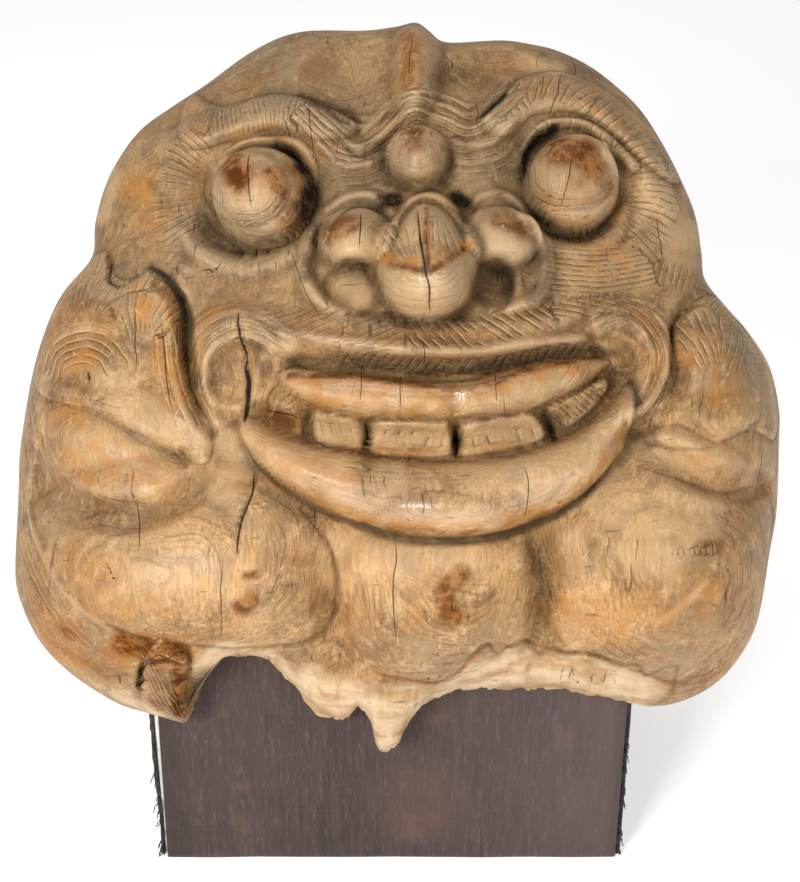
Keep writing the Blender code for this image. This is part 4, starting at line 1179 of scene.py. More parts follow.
def growth_ring_group() -> Tree:
    """Build the group that draws growth rings and fibres through carved wood."""
    group, s, taken, given = new_group("growth_rings", "Spacing", "Rings Fibre")
    place = taken["Place"]
    x, _, z = s.axes(place)
    # The rings are round the log's heart, which lies behind the mask
    deep = s.plus(z, 0.26)
    radius = s.math("SQRT", s.plus(s.times(x, x), s.times(deep, deep)))
    bend = s.noise(s.stretch(place, (1.0, 0.45, 1.0)), 9.0, 3.0)
    radius = s.plus(radius, s.times(bend, 0.035))
    saw = s.math("FRACT", s.math("DIVIDE", radius, taken["Spacing"]))
    late = s.span(saw, 0.55, 0.97)
    early = s.span(saw, 0.97, 1.0, 1.0, 0.0)
    strength = s.patches(place, (26.0, 3.0), 0.40, 0.60, least=0.15)
    s.feed(given["Rings"], s.times(s.times(late, early), strength))
    s.feed(given["Fibre"], s.noise(s.stretch(place, (1.0, 0.06, 1.0)), 620.0, 3.0, 0.6))
    return group


def cut_line_group() -> Tree:
    """Build the group that turns a count of lines into hand-cut grooves."""
    group, s, taken, given = new_group("cut_lines", "Count Weight", "Groove Dark Light")
    place = taken["Place"]
    wander = s.times(s.math("SUBTRACT", s.noise(place, 55.0, 3.0), 0.5), 0.7)
    saw = s.math("FRACT", s.plus(taken["Count"], wander))
    weight = s.times(taken["Weight"], s.patches(place, (120.0, 2.0), 0.34, 0.56))
    # Each is strongest at its own part of the way from one line to the next
    # Dark, in the middle of each groove, is painted shade
    for name, middle, reach in (("Groove", 0.5, 0.30), ("Dark", 0.5, 0.12), ("Light", 0.70, 0.14)):
        gap = s.math("ABSOLUTE", s.math("SUBTRACT", saw, middle))
        s.feed(given[name], s.times(s.span(gap, 0.0, reach, 1.0, 0.0), weight))
    return group


def hair_crack_group() -> Tree:
    """Build the group that scatters fine drying cracks along the fibres."""
    group, s, taken, given = new_group("hair_cracks", "", "Crack")
    place = taken["Place"]
    bent = s.node("ShaderNodeVectorMath", operation="ADD")
    s.feed(bent.inputs[0], place)
    s.feed(bent.inputs[1], s.stretch(s.noise(place, 60.0, 2.0), (0.006, 0.0, 0.0)))
    along = s.stretch(bent.outputs[0], (1.0, 0.055, 0.25))
    thin = s.patches(along, (460.0, 1.0, 0.5), 0.68, 0.74)
    where = s.patches(place, (26.0, 1.0), 0.52, 0.64)
    s.feed(given["Crack"], s.times(thin, where))
    return group


def scratch_group() -> Tree:
    """Build the group that scatters short pale scratches two ways, and dark nicks a third."""
    group, s, taken, given = new_group("scratches", "", "Scratch Nick")
    place = taken["Place"]
    marks = []
    for turn, seed in ((0.6, 0.0), (-0.8, 3.7), (1.5, 7.1)):
        turned = s.node("ShaderNodeVectorRotate", {"Vector": place, "Angle": turn},
                        rotation_type="Z_AXIS")
        moved = s.node("ShaderNodeMapping", {"Vector": turned.outputs[0],
                                             "Location": (seed, seed, 0.0),
                                             "Scale": (1.0, 0.10, 0.3)})
        marks.append(s.patches(moved.outputs[0], (520.0, 1.0), 0.68, 0.74))
    where = s.patches(place, (34.0, 2.0), 0.44, 0.58)
    s.feed(given["Scratch"], s.times(s.math("MAXIMUM", marks[0], marks[1]), where))
    s.feed(given["Nick"], s.times(marks[2], where))
    return group


def dust_group() -> Tree:
    """Build the group that lays uneven dust and grime, used on the wood and on the cloths."""
    group, s, taken, given = new_group("dust", "Scale", "Broad Specks")
    moved = s.node("ShaderNodeVectorMath", operation="SCALE")
    s.feed(moved.inputs[0], taken["Place"])
    s.feed(moved.inputs["Scale"], taken["Scale"])
    s.feed(given["Broad"], s.patches(moved.outputs[0], (9.0, 5.0, 0.6), 0.35, 0.65))
    s.feed(given["Specks"], s.patches(moved.outputs[0], (330.0, 2.0), 0.66, 0.74))
    return group


def weave_group() -> Tree:
    """Build the group that weaves slubby threads across and up a flat cloth."""
    group, s, taken, given = new_group("weave", "Threads", "Height Slub")
    place = taken["Place"]
    x, y, z = s.axes(place)
    wobble = s.times(s.noise(place, 40.0, 3.0), 0.004)
    across = s.plus(s.plus(x, y), wobble)
    up = s.plus(z, wobble)
    warp = s.math("SINE", s.times(across, taken["Threads"]))
    weft = s.math("SINE", s.times(up, taken["Threads"]))
    s.feed(given["Height"], s.total(((warp, 0.5), (weft, 0.5))))
    tall = s.noise(s.stretch(place, (1.0, 1.0, 0.04)), 520.0, 5.0, 0.65)
    wide = s.noise(s.stretch(place, (0.04, 0.04, 1.0)), 620.0, 4.0, 0.65)
    s.feed(given["Slub"], s.span(s.total(((tall, 0.84), (wide, 0.16))), 0.28, 0.72))
    return group


@dataclass
class Finishes:
    """The node groups that the materials share."""

    rings: Tree = field(default_factory=growth_ring_group)
    cuts: Tree = field(default_factory=cut_line_group)
    cracks: Tree = field(default_factory=hair_crack_group)
    scratches: Tree = field(default_factory=scratch_group)
    dust: Tree = field(default_factory=dust_group)
    weave: Tree = field(default_factory=weave_group)


def new_material(name: str) -> tuple:
    """Start a material.

    Args:
        name: the material's name.

    Returns:
        The material, its Sketch and its Principled BSDF.
    """
    material = bpy.data.materials.new(name)
    material.use_nodes = True
    sketch = Sketch(material.node_tree)
    return material, sketch, material.node_tree.nodes["Principled BSDF"]


def use_group(s: Sketch, group: Tree, **values: object) -> dict:
    """Place a shared group in a material, feed its inputs and give its outputs by name."""
    made = s.node("ShaderNodeGroup", values, node_tree=group)
    return dict(made.outputs.items())


@dataclass(frozen=True)
class AgedWood:
    """Bare carved wood, gone brown with age, pale where handled, and dark in its cuts with dirt and
    painted shade.
    """

    light: tuple = (0.47, 0.260, 0.096)
    mid: tuple = (0.31, 0.160, 0.054)
    brown: tuple = (0.105, 0.050, 0.018)
    grey: tuple = (0.200, 0.142, 0.078)
    pale: tuple = (0.60, 0.400, 0.205)
    amber: tuple = (0.36, 0.145, 0.022)
    # Dark of the stains and of the painted shade on the left eye's ball
    stain_and_shade: tuple = (0.082, 0.026, 0.005)
    rust: tuple = (0.25, 0.090, 0.017)
    # Dirt, and the painted shade of the hollows, the grooves and the creases
    grime_and_shade: tuple = (0.070, 0.046, 0.024)
    # Near black of the painted shadows, also laid in the cracks
    shadow_black: tuple = (0.018, 0.013, 0.010)
    raw: tuple = (0.53, 0.385, 0.235)
    ring_spacing: float = 0.0052
    growth_spacing: float = 0.0014
    dust_scale: float = 1.6
    bump_strength: float = 0.9

    def masks(self, s: Sketch, place: Socket, finishes: Finishes) -> dict:
        """Read the mask's attributes and the shared groups, by name."""
        names = ["cavity", "worn"] + [mark.value for mark in Mark]
        found = {name: s.attribute(name) for name in names}
        cuts = {"Count": s.attribute("line_count"), "Weight": s.attribute("line_weight")}
        for group, values in (
            (finishes.rings, {"Spacing": self.ring_spacing}),
            (finishes.cuts, cuts),
            (finishes.cracks, {}),
            (finishes.dust, {"Scale": self.dust_scale}),
            (finishes.scratches, {}),
        ):
            found |= use_group(s, group, Place=place, **values)
        growth = use_group(s, finishes.rings, Place=place, Spacing=self.growth_spacing)
        found["growth"] = growth["Rings"]
        found["blots"] = s.noise(place, 75.0, 6.0, 0.72)
        found["speck"] = s.patches(s.stretch(place, (1.0, 0.35, 1.0)), (300.0, 4.0, 0.7),
                                   0.52, 0.68, 0.30)
        # Painted shade along the creases, in uneven patches
        patchiness = s.patches(place, (110.0, 3.0), 0.32, 0.55, least=0.35)
        found["fold"] = s.times(self.drawn(s, "crease", 0.0, 1.8), patchiness)
        fine = s.times(found["Crack"], 0.6)
        found["split"] = s.math("MAXIMUM", self.drawn(s, "crack", 0.4, 1.0), fine)
        return found

    def drawn(self, s: Sketch, name: str, inner: float, outer: float) -> Socket:
        """Give a drawn line's strength, full up to its inner share and none past its outer."""
        side = s.math("ABSOLUTE", s.attribute(f"{name}_side"))
        return s.times(s.span(side, inner, outer, 1.0, 0.0), s.attribute(f"{name}_weight"))

    def body(self, s: Sketch, place: Socket, masks: dict) -> Socket:
        """Colour the bare wood: patches, fibres, rings, blotches, wear, and painted shade that greys the
        top and darkens its blotches.
        """
        _, up, _ = s.axes(place)
        # Height up the face, which the painted shade of the top follows
        uneven = s.plus(up, s.times(s.noise(place, 12.0, 3.0), 0.10))
        tall = s.stretch(place, (1.0, 1.6, 1.0))
        # Blotches grow stronger towards the top, as painted shade
        blotch = s.times(s.patches(place, (52.0, 7.0, 0.72, 0.6), 0.46, 0.64, 0.78),
                         s.span(uneven, -0.04, 0.10, 0.60, 1.0))
        broad = s.patches(place, (15.0, 5.0, 0.6, 0.6), 0.36, 0.64)
        return s.layers(s.mix(broad, self.mid, self.light), (
            (s.span(masks["Fibre"], 0.40, 0.66, 0.0, 0.55), 1, self.brown),
            (s.patches(place, (10.0, 4.0, 0.6), 0.44, 0.66, 0.70), 1, self.grey),
            (s.patches(tall, (19.0, 3.0), 0.56, 0.74, 0.55), 1, self.amber),
            (masks["Rings"], 0.52, self.brown),
            (masks["growth"], 0.52, self.brown),
            (blotch, 1, self.brown),
            (s.patches(place, (64.0, 7.0, 0.74, 0.4), 0.52, 0.66, 0.42), 1, self.pale),
            (masks["speck"], 1, self.pale),
            (masks["worn"], 0.62, self.pale),
            # Painted shade: the top of the face greyer
            (s.span(uneven, 0.04, 0.17, 0.0, 0.36), 1, self.grey),
        ))

    def aged(self, s: Sketch, place: Socket, masks: dict, colour: Socket) -> Socket:
        """Add the marks of age, the torn wood, painted shadows and highlights, and the dirt and painted
        shade in the cuts and hollows.
        """
        blots = masks["blots"]
        torn = s.patches(s.stretch(place, (0.4, 1, 1)), (70.0, 6.0, 0.6), 0.44, 0.66, 0.75)
        return s.layers(colour, (
            # Pale wear, and the painted highlights on the right eye and the nose tip
            (masks["pale"], 0.7, self.pale),
            (s.times(masks["amber"], s.span(blots, 0.38, 0.60)), 1, self.amber),
            (masks["raw"], 1, s.mix(torn, self.raw, self.mid)),
            # Stains, and the painted shade on the left eye's ball
            (masks["stain_and_shade"], 0.75, self.rust),
            (s.times(masks["stain_and_shade"], s.span(blots, 0.42, 0.56, 0.1, 1.0)), 1, self.stain_and_shade),
            (masks["Specks"], 0.45, self.brown),
            (masks["Scratch"], 0.45, self.pale),
            (masks["Nick"], 0.60, self.grime_and_shade),
            (masks["Light"], 0.54, self.pale),
            # Dirt and painted shade in the hollows, painted shade in the hair grooves and along the
            # creases
            (masks["cavity"], 0.86, self.grime_and_shade),
            (masks["Dark"], 0.84, self.grime_and_shade),
            (masks["fold"], 0.80, self.grime_and_shade),
            # Blotchy painted shadow, then the black of the cracks
            (s.times(masks["shadow_black"], s.span(blots, 0.34, 0.54, 0.35, 1.0)), 1, self.shadow_black),
            (masks["split"], 1, self.shadow_black),
        ))

    def relief(self, s: Sketch, place: Socket, masks: dict) -> Socket:
        """Give the height of the grain, the cuts and the torn wood, in millimetres."""
        lump = s.noise(s.stretch(place, (0.4, 1, 1)), 130.0, 5.0)
        return s.total((
            (masks["Groove"], -0.8), (masks["fold"], -0.8), (masks["Rings"], -0.25),
            (masks["growth"], -0.15), (masks["Fibre"], 0.22), (s.noise(place, 90.0, 4.0), 0.55),
            (masks["speck"], 0.35), (masks["split"], -0.9), (masks["Scratch"], -0.25),
            (s.times(lump, masks["raw"]), 0.6),
        ))

    def build(self, finishes: Finishes) -> bpy.types.Material:
        """Build the material: glossy on handled places, dull in the dirt, the stains and the painted
        shade.
        """
        material, s, shader = new_material("aged_wood")
        place = s.attribute("place", vector=True)
        masks = self.masks(s, place, finishes)
        colour = self.aged(s, place, masks, self.body(s, place, masks))
        s.feed(shader.inputs["Base Color"], colour)
        rough = s.total(((masks["cavity"], 0.3), (masks["worn"], -0.14),
                         (masks["polish"], -0.24), (masks["Fibre"], 0.12)))
        s.feed(shader.inputs["Roughness"], s.plus(rough, 0.50, clamp=True))
        gloss = s.total(((masks["worn"], 0.40), (masks["polish"], 0.40),
                         (masks["cavity"], -0.30), (masks["shadow_black"], -0.30),
                         (masks["stain_and_shade"], -0.30)))
        s.feed(shader.inputs["Specular IOR Level"], s.plus(gloss, 0.24, clamp=True))
        s.bump(shader, self.relief(s, place, masks), self.bump_strength)
        return material


@dataclass(frozen=True)
class WovenCloth:
    """A plain woven cloth with slubs, fading and grime."""

    name: str
    dark: tuple
    light: tuple
    blotch: tuple
    fleck: tuple
    rust_at: tuple = (0.012, -0.140, 0.050)
    threads: float = 4200.0
    fade: float = 0.5
    half_wide: float = 0.0
    dark_edge: float = 0.016
    roughness: float = 0.95
    sheen: float = 0.12
    dust_scale: float = 1.3
    bump_strength: float = 0.8

    def soiled(self, s: Sketch, place: Socket, colour: Socket) -> Socket:
        """Add rust in the middle, grey on the right and dark along both edges."""
        x, _, _ = s.axes(place)
        far = s.node("ShaderNodeVectorMath", operation="DISTANCE")
        s.feed(far.inputs[0], place)
        far.inputs[1].default_value = self.rust_at
        ragged = s.plus(far.outputs["Value"], s.times(s.noise(place, 60.0, 5.0, 0.7), 0.05))
        inner = self.half_wide - self.dark_edge
        edge = s.span(s.math("ABSOLUTE", x), inner, self.half_wide, 0.0, 0.55)
        return s.layers(colour, (
            (s.span(ragged, 0.035, 0.075, 0.32, 0.0), 1, self.blotch),
            (s.span(x, 0.0, 0.14, 0.0, 0.30), 1, self.fleck),
            (edge, 1, self.dark),
        ))

    def build(self, finishes: Finishes) -> bpy.types.Material:
        """Build the cloth's material on its object coordinates."""
        material, s, shader = new_material(self.name)
        place = s.node("ShaderNodeTexCoord").outputs["Object"]
        weave = use_group(s, finishes.weave, Place=place, Threads=self.threads)
        dust = use_group(s, finishes.dust, Place=place, Scale=self.dust_scale)
        tall = s.stretch(place, (1.0, 1.0, 0.14))
        colour = s.layers(s.mix(weave["Slub"], self.dark, self.light), (
            (dust["Broad"], self.fade, self.light),
            (s.patches(place, (22.0, 3.0), 0.60, 0.72, 0.5), 1, self.blotch),
            (s.patches(tall, (620.0, 4.0, 0.7), 0.50, 0.76, 0.55), 1, self.fleck),
        ))
        if self.half_wide:
            colour = self.soiled(s, place, colour)
        # Painted shade in the low places of the weave
        colour = s.mix(s.span(weave["Height"], -0.9, 0.3, 0.14, 0.0), colour, self.dark)
        s.feed(shader.inputs["Base Color"], colour)
        shader.inputs["Roughness"].default_value = self.roughness
        shader.inputs["Sheen Weight"].default_value = self.sheen
        height = s.total(((weave["Height"], 0.04), (weave["Slub"], 0.36)))
        s.bump(shader, height, self.bump_strength)
        return material


@dataclass(frozen=True)
class PlainBoard:
    """Matt white board, a little soiled."""

    clean: tuple = (0.72, 0.71, 0.67)
    soiled: tuple = (0.50, 0.47, 0.41)
    soiling: float = 0.5
    roughness: float = 0.85
    bump_strength: float = 0.3

    def build(self, finishes: Finishes) -> bpy.types.Material:
        """Build the board's material."""
        material, s, shader = new_material("white_board")
        place = s.node("ShaderNodeTexCoord").outputs["Object"]
        dust = use_group(s, finishes.dust, Place=place, Scale=2.0)
        colour = s.layers(self.clean, ((dust["Broad"], self.soiling, self.soiled),))
        s.feed(shader.inputs["Base Color"], colour)
        shader.inputs["Roughness"].default_value = self.roughness
        s.bump(shader, s.noise(place, 400.0, 3.0), self.bump_strength, 0.0005)
        return material


def object_of(name: str, mesh_data: BMesh) -> bpy.types.Object:
    """Turn a finished bmesh into an object at the origin, shaded smooth."""
    mesh = bpy.data.meshes.new(name)
    mesh_data.to_mesh(mesh)
    mesh_data.free()
    mesh.shade_smooth()
    made = bpy.data.objects.new(name, mesh)
    bpy.context.scene.collection.objects.link(made)
    return made


def set_places(mesh_data: BMesh, *rows: Array) -> None:
    """Move a bmesh's vertices to places given as their X, Y and Z."""
    for vertex, point in zip(mesh_data.verts, np.stack(rows, 1)):
        vertex.co = point


def only(items: list, kind: type) -> list:
    """Keep the items of one kind."""
    return [item for item in items if isinstance(item, kind)]


def cut_out(piece: bpy.types.Object, cutter: bpy.types.Object) -> bpy.types.Mesh:
    """Cut one object out of another, remove the cutter and give the new mesh."""
    cut = piece.modifiers.new("hollow", "BOOLEAN")
    cut.operation = "DIFFERENCE"
    cut.solver = "EXACT"
    cut.object = cutter
    bpy.context.view_layer.update()
    graph = bpy.context.evaluated_depsgraph_get()
    carved = bpy.data.meshes.new_from_object(piece.evaluated_get(graph))
    piece.modifiers.clear()
    piece.data = carved
    bpy.data.objects.remove(cutter)
    return carved


def corners_of(name: str) -> tuple:
    """Give a solid's low corner and its high corner."""
    low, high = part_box(name)
    return Vector(low), Vector(high)


def add_floats(mesh: bpy.types.Mesh, name: str, values: Array) -> None:
    """Store one number for each vertex."""
    layer = mesh.attributes.new(name, "FLOAT", "POINT")
    layer.data.foreach_set("value", np.ascontiguousarray(values, dtype=np.float32))


@dataclass
class CarvedMask:
    """The mask: a carved face over a hollow, leaning back on the block.

    Its lengths are metres, but crack_reach, fold_reach and foot_width are pixels of the view.
    """

    sizes: Sizes = field(default_factory=Sizes)
    cells: int = 300
    hollow_cells: int = 40
    ragged: float = 0.0026
    torn: float = 0.0013
    gouged: float = 0.0012
    stump_lean: float = 0.013
    near_cells: int = 4
    far_cells: int = 13
    crack_reach: float = 7.0
    fold_reach: float = 14.0
    full_fold: float = 0.006
    steep_rise: float = 0.006
    steep_soft: float = 0.010
    near_hollow: float = 0.0030
    far_hollow: float = 0.014
    near_crest: float = 0.0026
    far_crest: float = 0.012
    crowding: float = 0.25
    foot_width: float = 1.3
    foot_strength: float = 0.5
    back: float = 0.0

    def disc(self, cells: int) -> tuple:
        """Bend a square grid into a round one.

        Args:
            cells: how many cells the grid has each way.

        Returns:
            The bmesh, each vertex's share of the radius and its angle, and its grid index.
        """
        grid = bmesh.new()
        bmesh.ops.create_grid(grid, x_segments=cells, y_segments=cells, size=1.0)
        flat = np.array([vertex.co[:2] for vertex in grid.verts])
        x = flat[:, 0] * np.sqrt(1 - flat[:, 1] ** 2 / 2)
        y = flat[:, 1] * np.sqrt(1 - flat[:, 0] ** 2 / 2)
        index = np.rint((flat + 1) / 2 * cells).astype(int)
        return grid, np.clip(np.hypot(x, y), 0.0, 1.0), np.arctan2(y, x), index

    def close_behind(self, mesh_data: BMesh, steps: tuple) -> None:
        """Draw the open border back in rings of (w, scale) and close it with a flat."""
        border = [edge for edge in mesh_data.edges if edge.is_boundary]
        for depth, scale in steps:
            made = bmesh.ops.extrude_edge_only(mesh_data, edges=border)["geom"]
            border = [edge for edge in only(made, bmesh.types.BMEdge) if edge.is_boundary]
            for vertex in {end for edge in border for end in edge.verts}:
                vertex.co = (vertex.co.x * scale, vertex.co.y * scale, depth)
        bmesh.ops.edgeloop_fill(mesh_data, edges=border)
        bmesh.ops.recalc_face_normals(mesh_data, faces=mesh_data.faces)

    def relief(self, height: Array, index: Array, reach: int) -> Array:
        """Give how far each vertex stands above the mean of its neighbours within reach."""
        grid = np.zeros((self.cells + 1, self.cells + 1))
        grid[index[:, 1], index[:, 0]] = height
        weights = np.hanning(2 * reach + 3)[1:-1]
        weights = weights / weights.sum()
        wide = np.pad(grid, reach, mode="edge")
        rows = np.apply_along_axis(np.convolve, 1, wide, weights, mode="valid")
        both = np.apply_along_axis(np.convolve, 0, rows, weights, mode="valid")
        return height - both[index[:, 1], index[:, 0]]

    def tear(self, carving: Carving, ring: Array, u: Array, v: Array) -> tuple:
        """Make the broken lower edge ragged, and lean its stump inwards.

        Args:
            carving: the carving whose noise is used.
            ring: each vertex's share of the way to the edge.
            u: places across the face.
            v: places up the face.

        Returns:
            The moved places across and up the face.
        """
        broken = smoothstep(ring, 0.90, 1.0) * smoothstep(-v, 0.08, 0.12)
        broken = broken * (1 - smoothstep(np.abs(u - 0.012), 0.135, 0.152))
        v = v + self.ragged * broken * carving.noise.at(u * 1.5, ring, 0.006)
        stump = smoothstep(-v, 0.148, 0.182) * smoothstep(u, -0.180, -0.152)
        u = u + self.stump_lean * stump * (1 - smoothstep(u, -0.128, -0.104))
        return u, v

    def signs(self, carving: Carving, u: Array, v: Array, fine: Array,
              wide: Array) -> dict:
        """Work out the attributes of the face.

        Args:
            carving: the carving to read.
            u: places across the face.
            v: places up the face.
            fine: how far each place stands above its near neighbours.
            wide: how far each place stands above its far neighbours.

        Returns:
            Each attribute's values by its name.
        """
        count, weight = carving.lines(u, v)
        checks = tuple((row.width / 2, 1.0, row.points) for row in CHECKS)
        split, crack = carving.beside(u, v, checks, self.crack_reach)
        # Lines of painted shade along the grooves of the cuts and along the feet of the steep plates
        folds = tuple((row.half_wide / 2, min(1.0, -row.rise / self.full_fold), row.points)
                      for row in CUTS if row.rise < 0)
        feet = tuple((self.foot_width, self.foot_strength, row.points + row.points[:2])
                     for row in PLATES
                     if row.rise > self.steep_rise and row.soft <= self.steep_soft)
        fold, crease = carving.beside(u, v, folds + feet, self.fold_reach)
        # cavity is how far a place sinks below its neighbours; the wood darkens there with dirt and
        # painted shade
        found = {
            "cavity": np.clip(-fine / self.near_hollow, 0, 1) * 0.35
            + np.clip(-wide / self.far_hollow, 0, 1) * 0.45,
            "worn": np.clip(fine / self.near_crest, 0, 1) * 0.5
            + np.clip(wide / self.far_crest, 0, 1) * 0.5,
            "line_count": count, "line_weight": weight,
            "crack_side": split, "crack_weight": crack,
            "crease_side": fold, "crease_weight": crease,
        }
        return found | {kind.value: carving.mark(u, v, kind) for kind in Mark}

    def face(self, carving: Carving) -> tuple:
        """Carve the outside.

        Args:
            carving: the carving to cut.

        Returns:
            The closed bmesh, and the attributes of its first vertices by name.
        """
        size = self.sizes
        mesh_data, ring, angle, index = self.disc(self.cells)
        share = ring * (1 + self.crowding - self.crowding * ring**2)
        soft = carving.edge.radius(angle, soft=True)
        sharp = carving.edge.radius(angle)
        radius = share * (soft + (sharp - soft) * smoothstep(ring, 0.70, 1.0))
        u, v = self.tear(carving, ring, radius * np.cos(angle),
                         radius * np.sin(angle) + size.centre_up * size.half_tall)
        soft_share = np.clip(radius / soft, 0.0, 1.0)
        height = carving.dome(soft_share + (share - soft_share) * smoothstep(ring, 0.80, 1.0),
                              angle)
        rise, lean_u, lean_v = carving.main_forms(u, v)
        rise = np.maximum(rise + carving.fine_forms(u, v), -size.deepest * size.wall)
        height = height + rise * (1 - smoothstep(ring, 0.90, 1.0))
        lumps = carving.noise.at(u * 2.5, v * 0.5, 0.007) + carving.noise.at(u, v, 0.014)
        height = height + carving.mark(u, v, Mark.RAW) * self.torn * lumps
        marks = self.signs(carving, u, v, self.relief(height, index, self.near_cells),
                           self.relief(height, index, self.far_cells))
        set_places(mesh_data, u + lean_u, v + lean_v, height)
        self.close_behind(mesh_data, ((-0.020, 1.0), (-size.rear, 0.97)))
        return mesh_data, marks

    def hollow(self, edge: Edge, carving: Carving) -> BMesh:
        """Shape the space inside the mask, open behind and below."""
        size = self.sizes
        mesh_data, ring, angle, _ = self.disc(self.hollow_cells)
        soft = edge.radius(angle, soft=True)
        rim_across = np.abs(soft * np.cos(angle)) / size.half_wide
        opened = (np.sin(angle) < 0) * (1 - smoothstep(rim_across, size.open_below,
                                                       size.open_below + 0.10))
        reach = soft - size.wall + opened * (0.5 * size.half_tall + size.wall)
        radius = ring * reach
        u = radius * np.cos(angle)
        v = radius * np.sin(angle) + size.centre_up * size.half_tall
        share = np.clip(radius / soft, 0.0, 0.97)
        gouges = self.gouged * carving.noise.at(u, v, 0.022)
        set_places(mesh_data, u, v, carving.dome(share, angle) - size.wall + gouges)
        self.close_behind(mesh_data, ((-size.rear - size.wall, 1.0),))
        return mesh_data

    def stance(self) -> Matrix:
        """Give the turn from the mask's own frame to the model's."""
        sine = math.sin(self.sizes.lean)
        cosine = math.cos(self.sizes.lean)
        return Matrix((
            (1.0, 0.0, 0.0, 0.0),
            (0.0, sine, -cosine, 0.0),
            (0.0, cosine, sine, self.sizes.above_table),
            (0.0, 0.0, 0.0, 1.0),
        ))

    def build(self, finishes: Finishes) -> bpy.types.Object:
        """Carve, hollow, place and finish the mask."""
        edge = Edge(self.sizes)
        carving = Carving(self.sizes, edge)
        face, marks = self.face(carving)
        mask = object_of("carved_mask", face)
        for name, values in marks.items():
            padded = np.zeros(len(mask.data.vertices))
            padded[:len(values)] = values
            add_floats(mask.data, name, padded)
        carved = cut_out(mask, object_of("hollow_cutter", self.hollow(edge, carving)))
        points = np.empty(len(carved.vertices) * 3)
        carved.vertices.foreach_get("co", points)
        layer = carved.attributes.new("place", "FLOAT_VECTOR", "POINT")
        layer.data.foreach_set("vector", points.astype(np.float32))
        # The top of the rear rim is the same in the solid, and sets the place along Y
        carved.transform(self.stance())
        rear = max(vertex.co.y for vertex in carved.vertices)
        self.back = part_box("mask_shell")[1][1] - rear
        carved.transform(Matrix.Translation((0.0, self.back, 0.0)))
        carved.shade_smooth()
        carved.materials.clear()
        carved.materials.append(AgedWood().build(finishes))
        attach(mask, "root")
        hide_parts("mask_shell")
        LOG.info("carved_mask: %d faces", len(carved.polygons))
        return mask


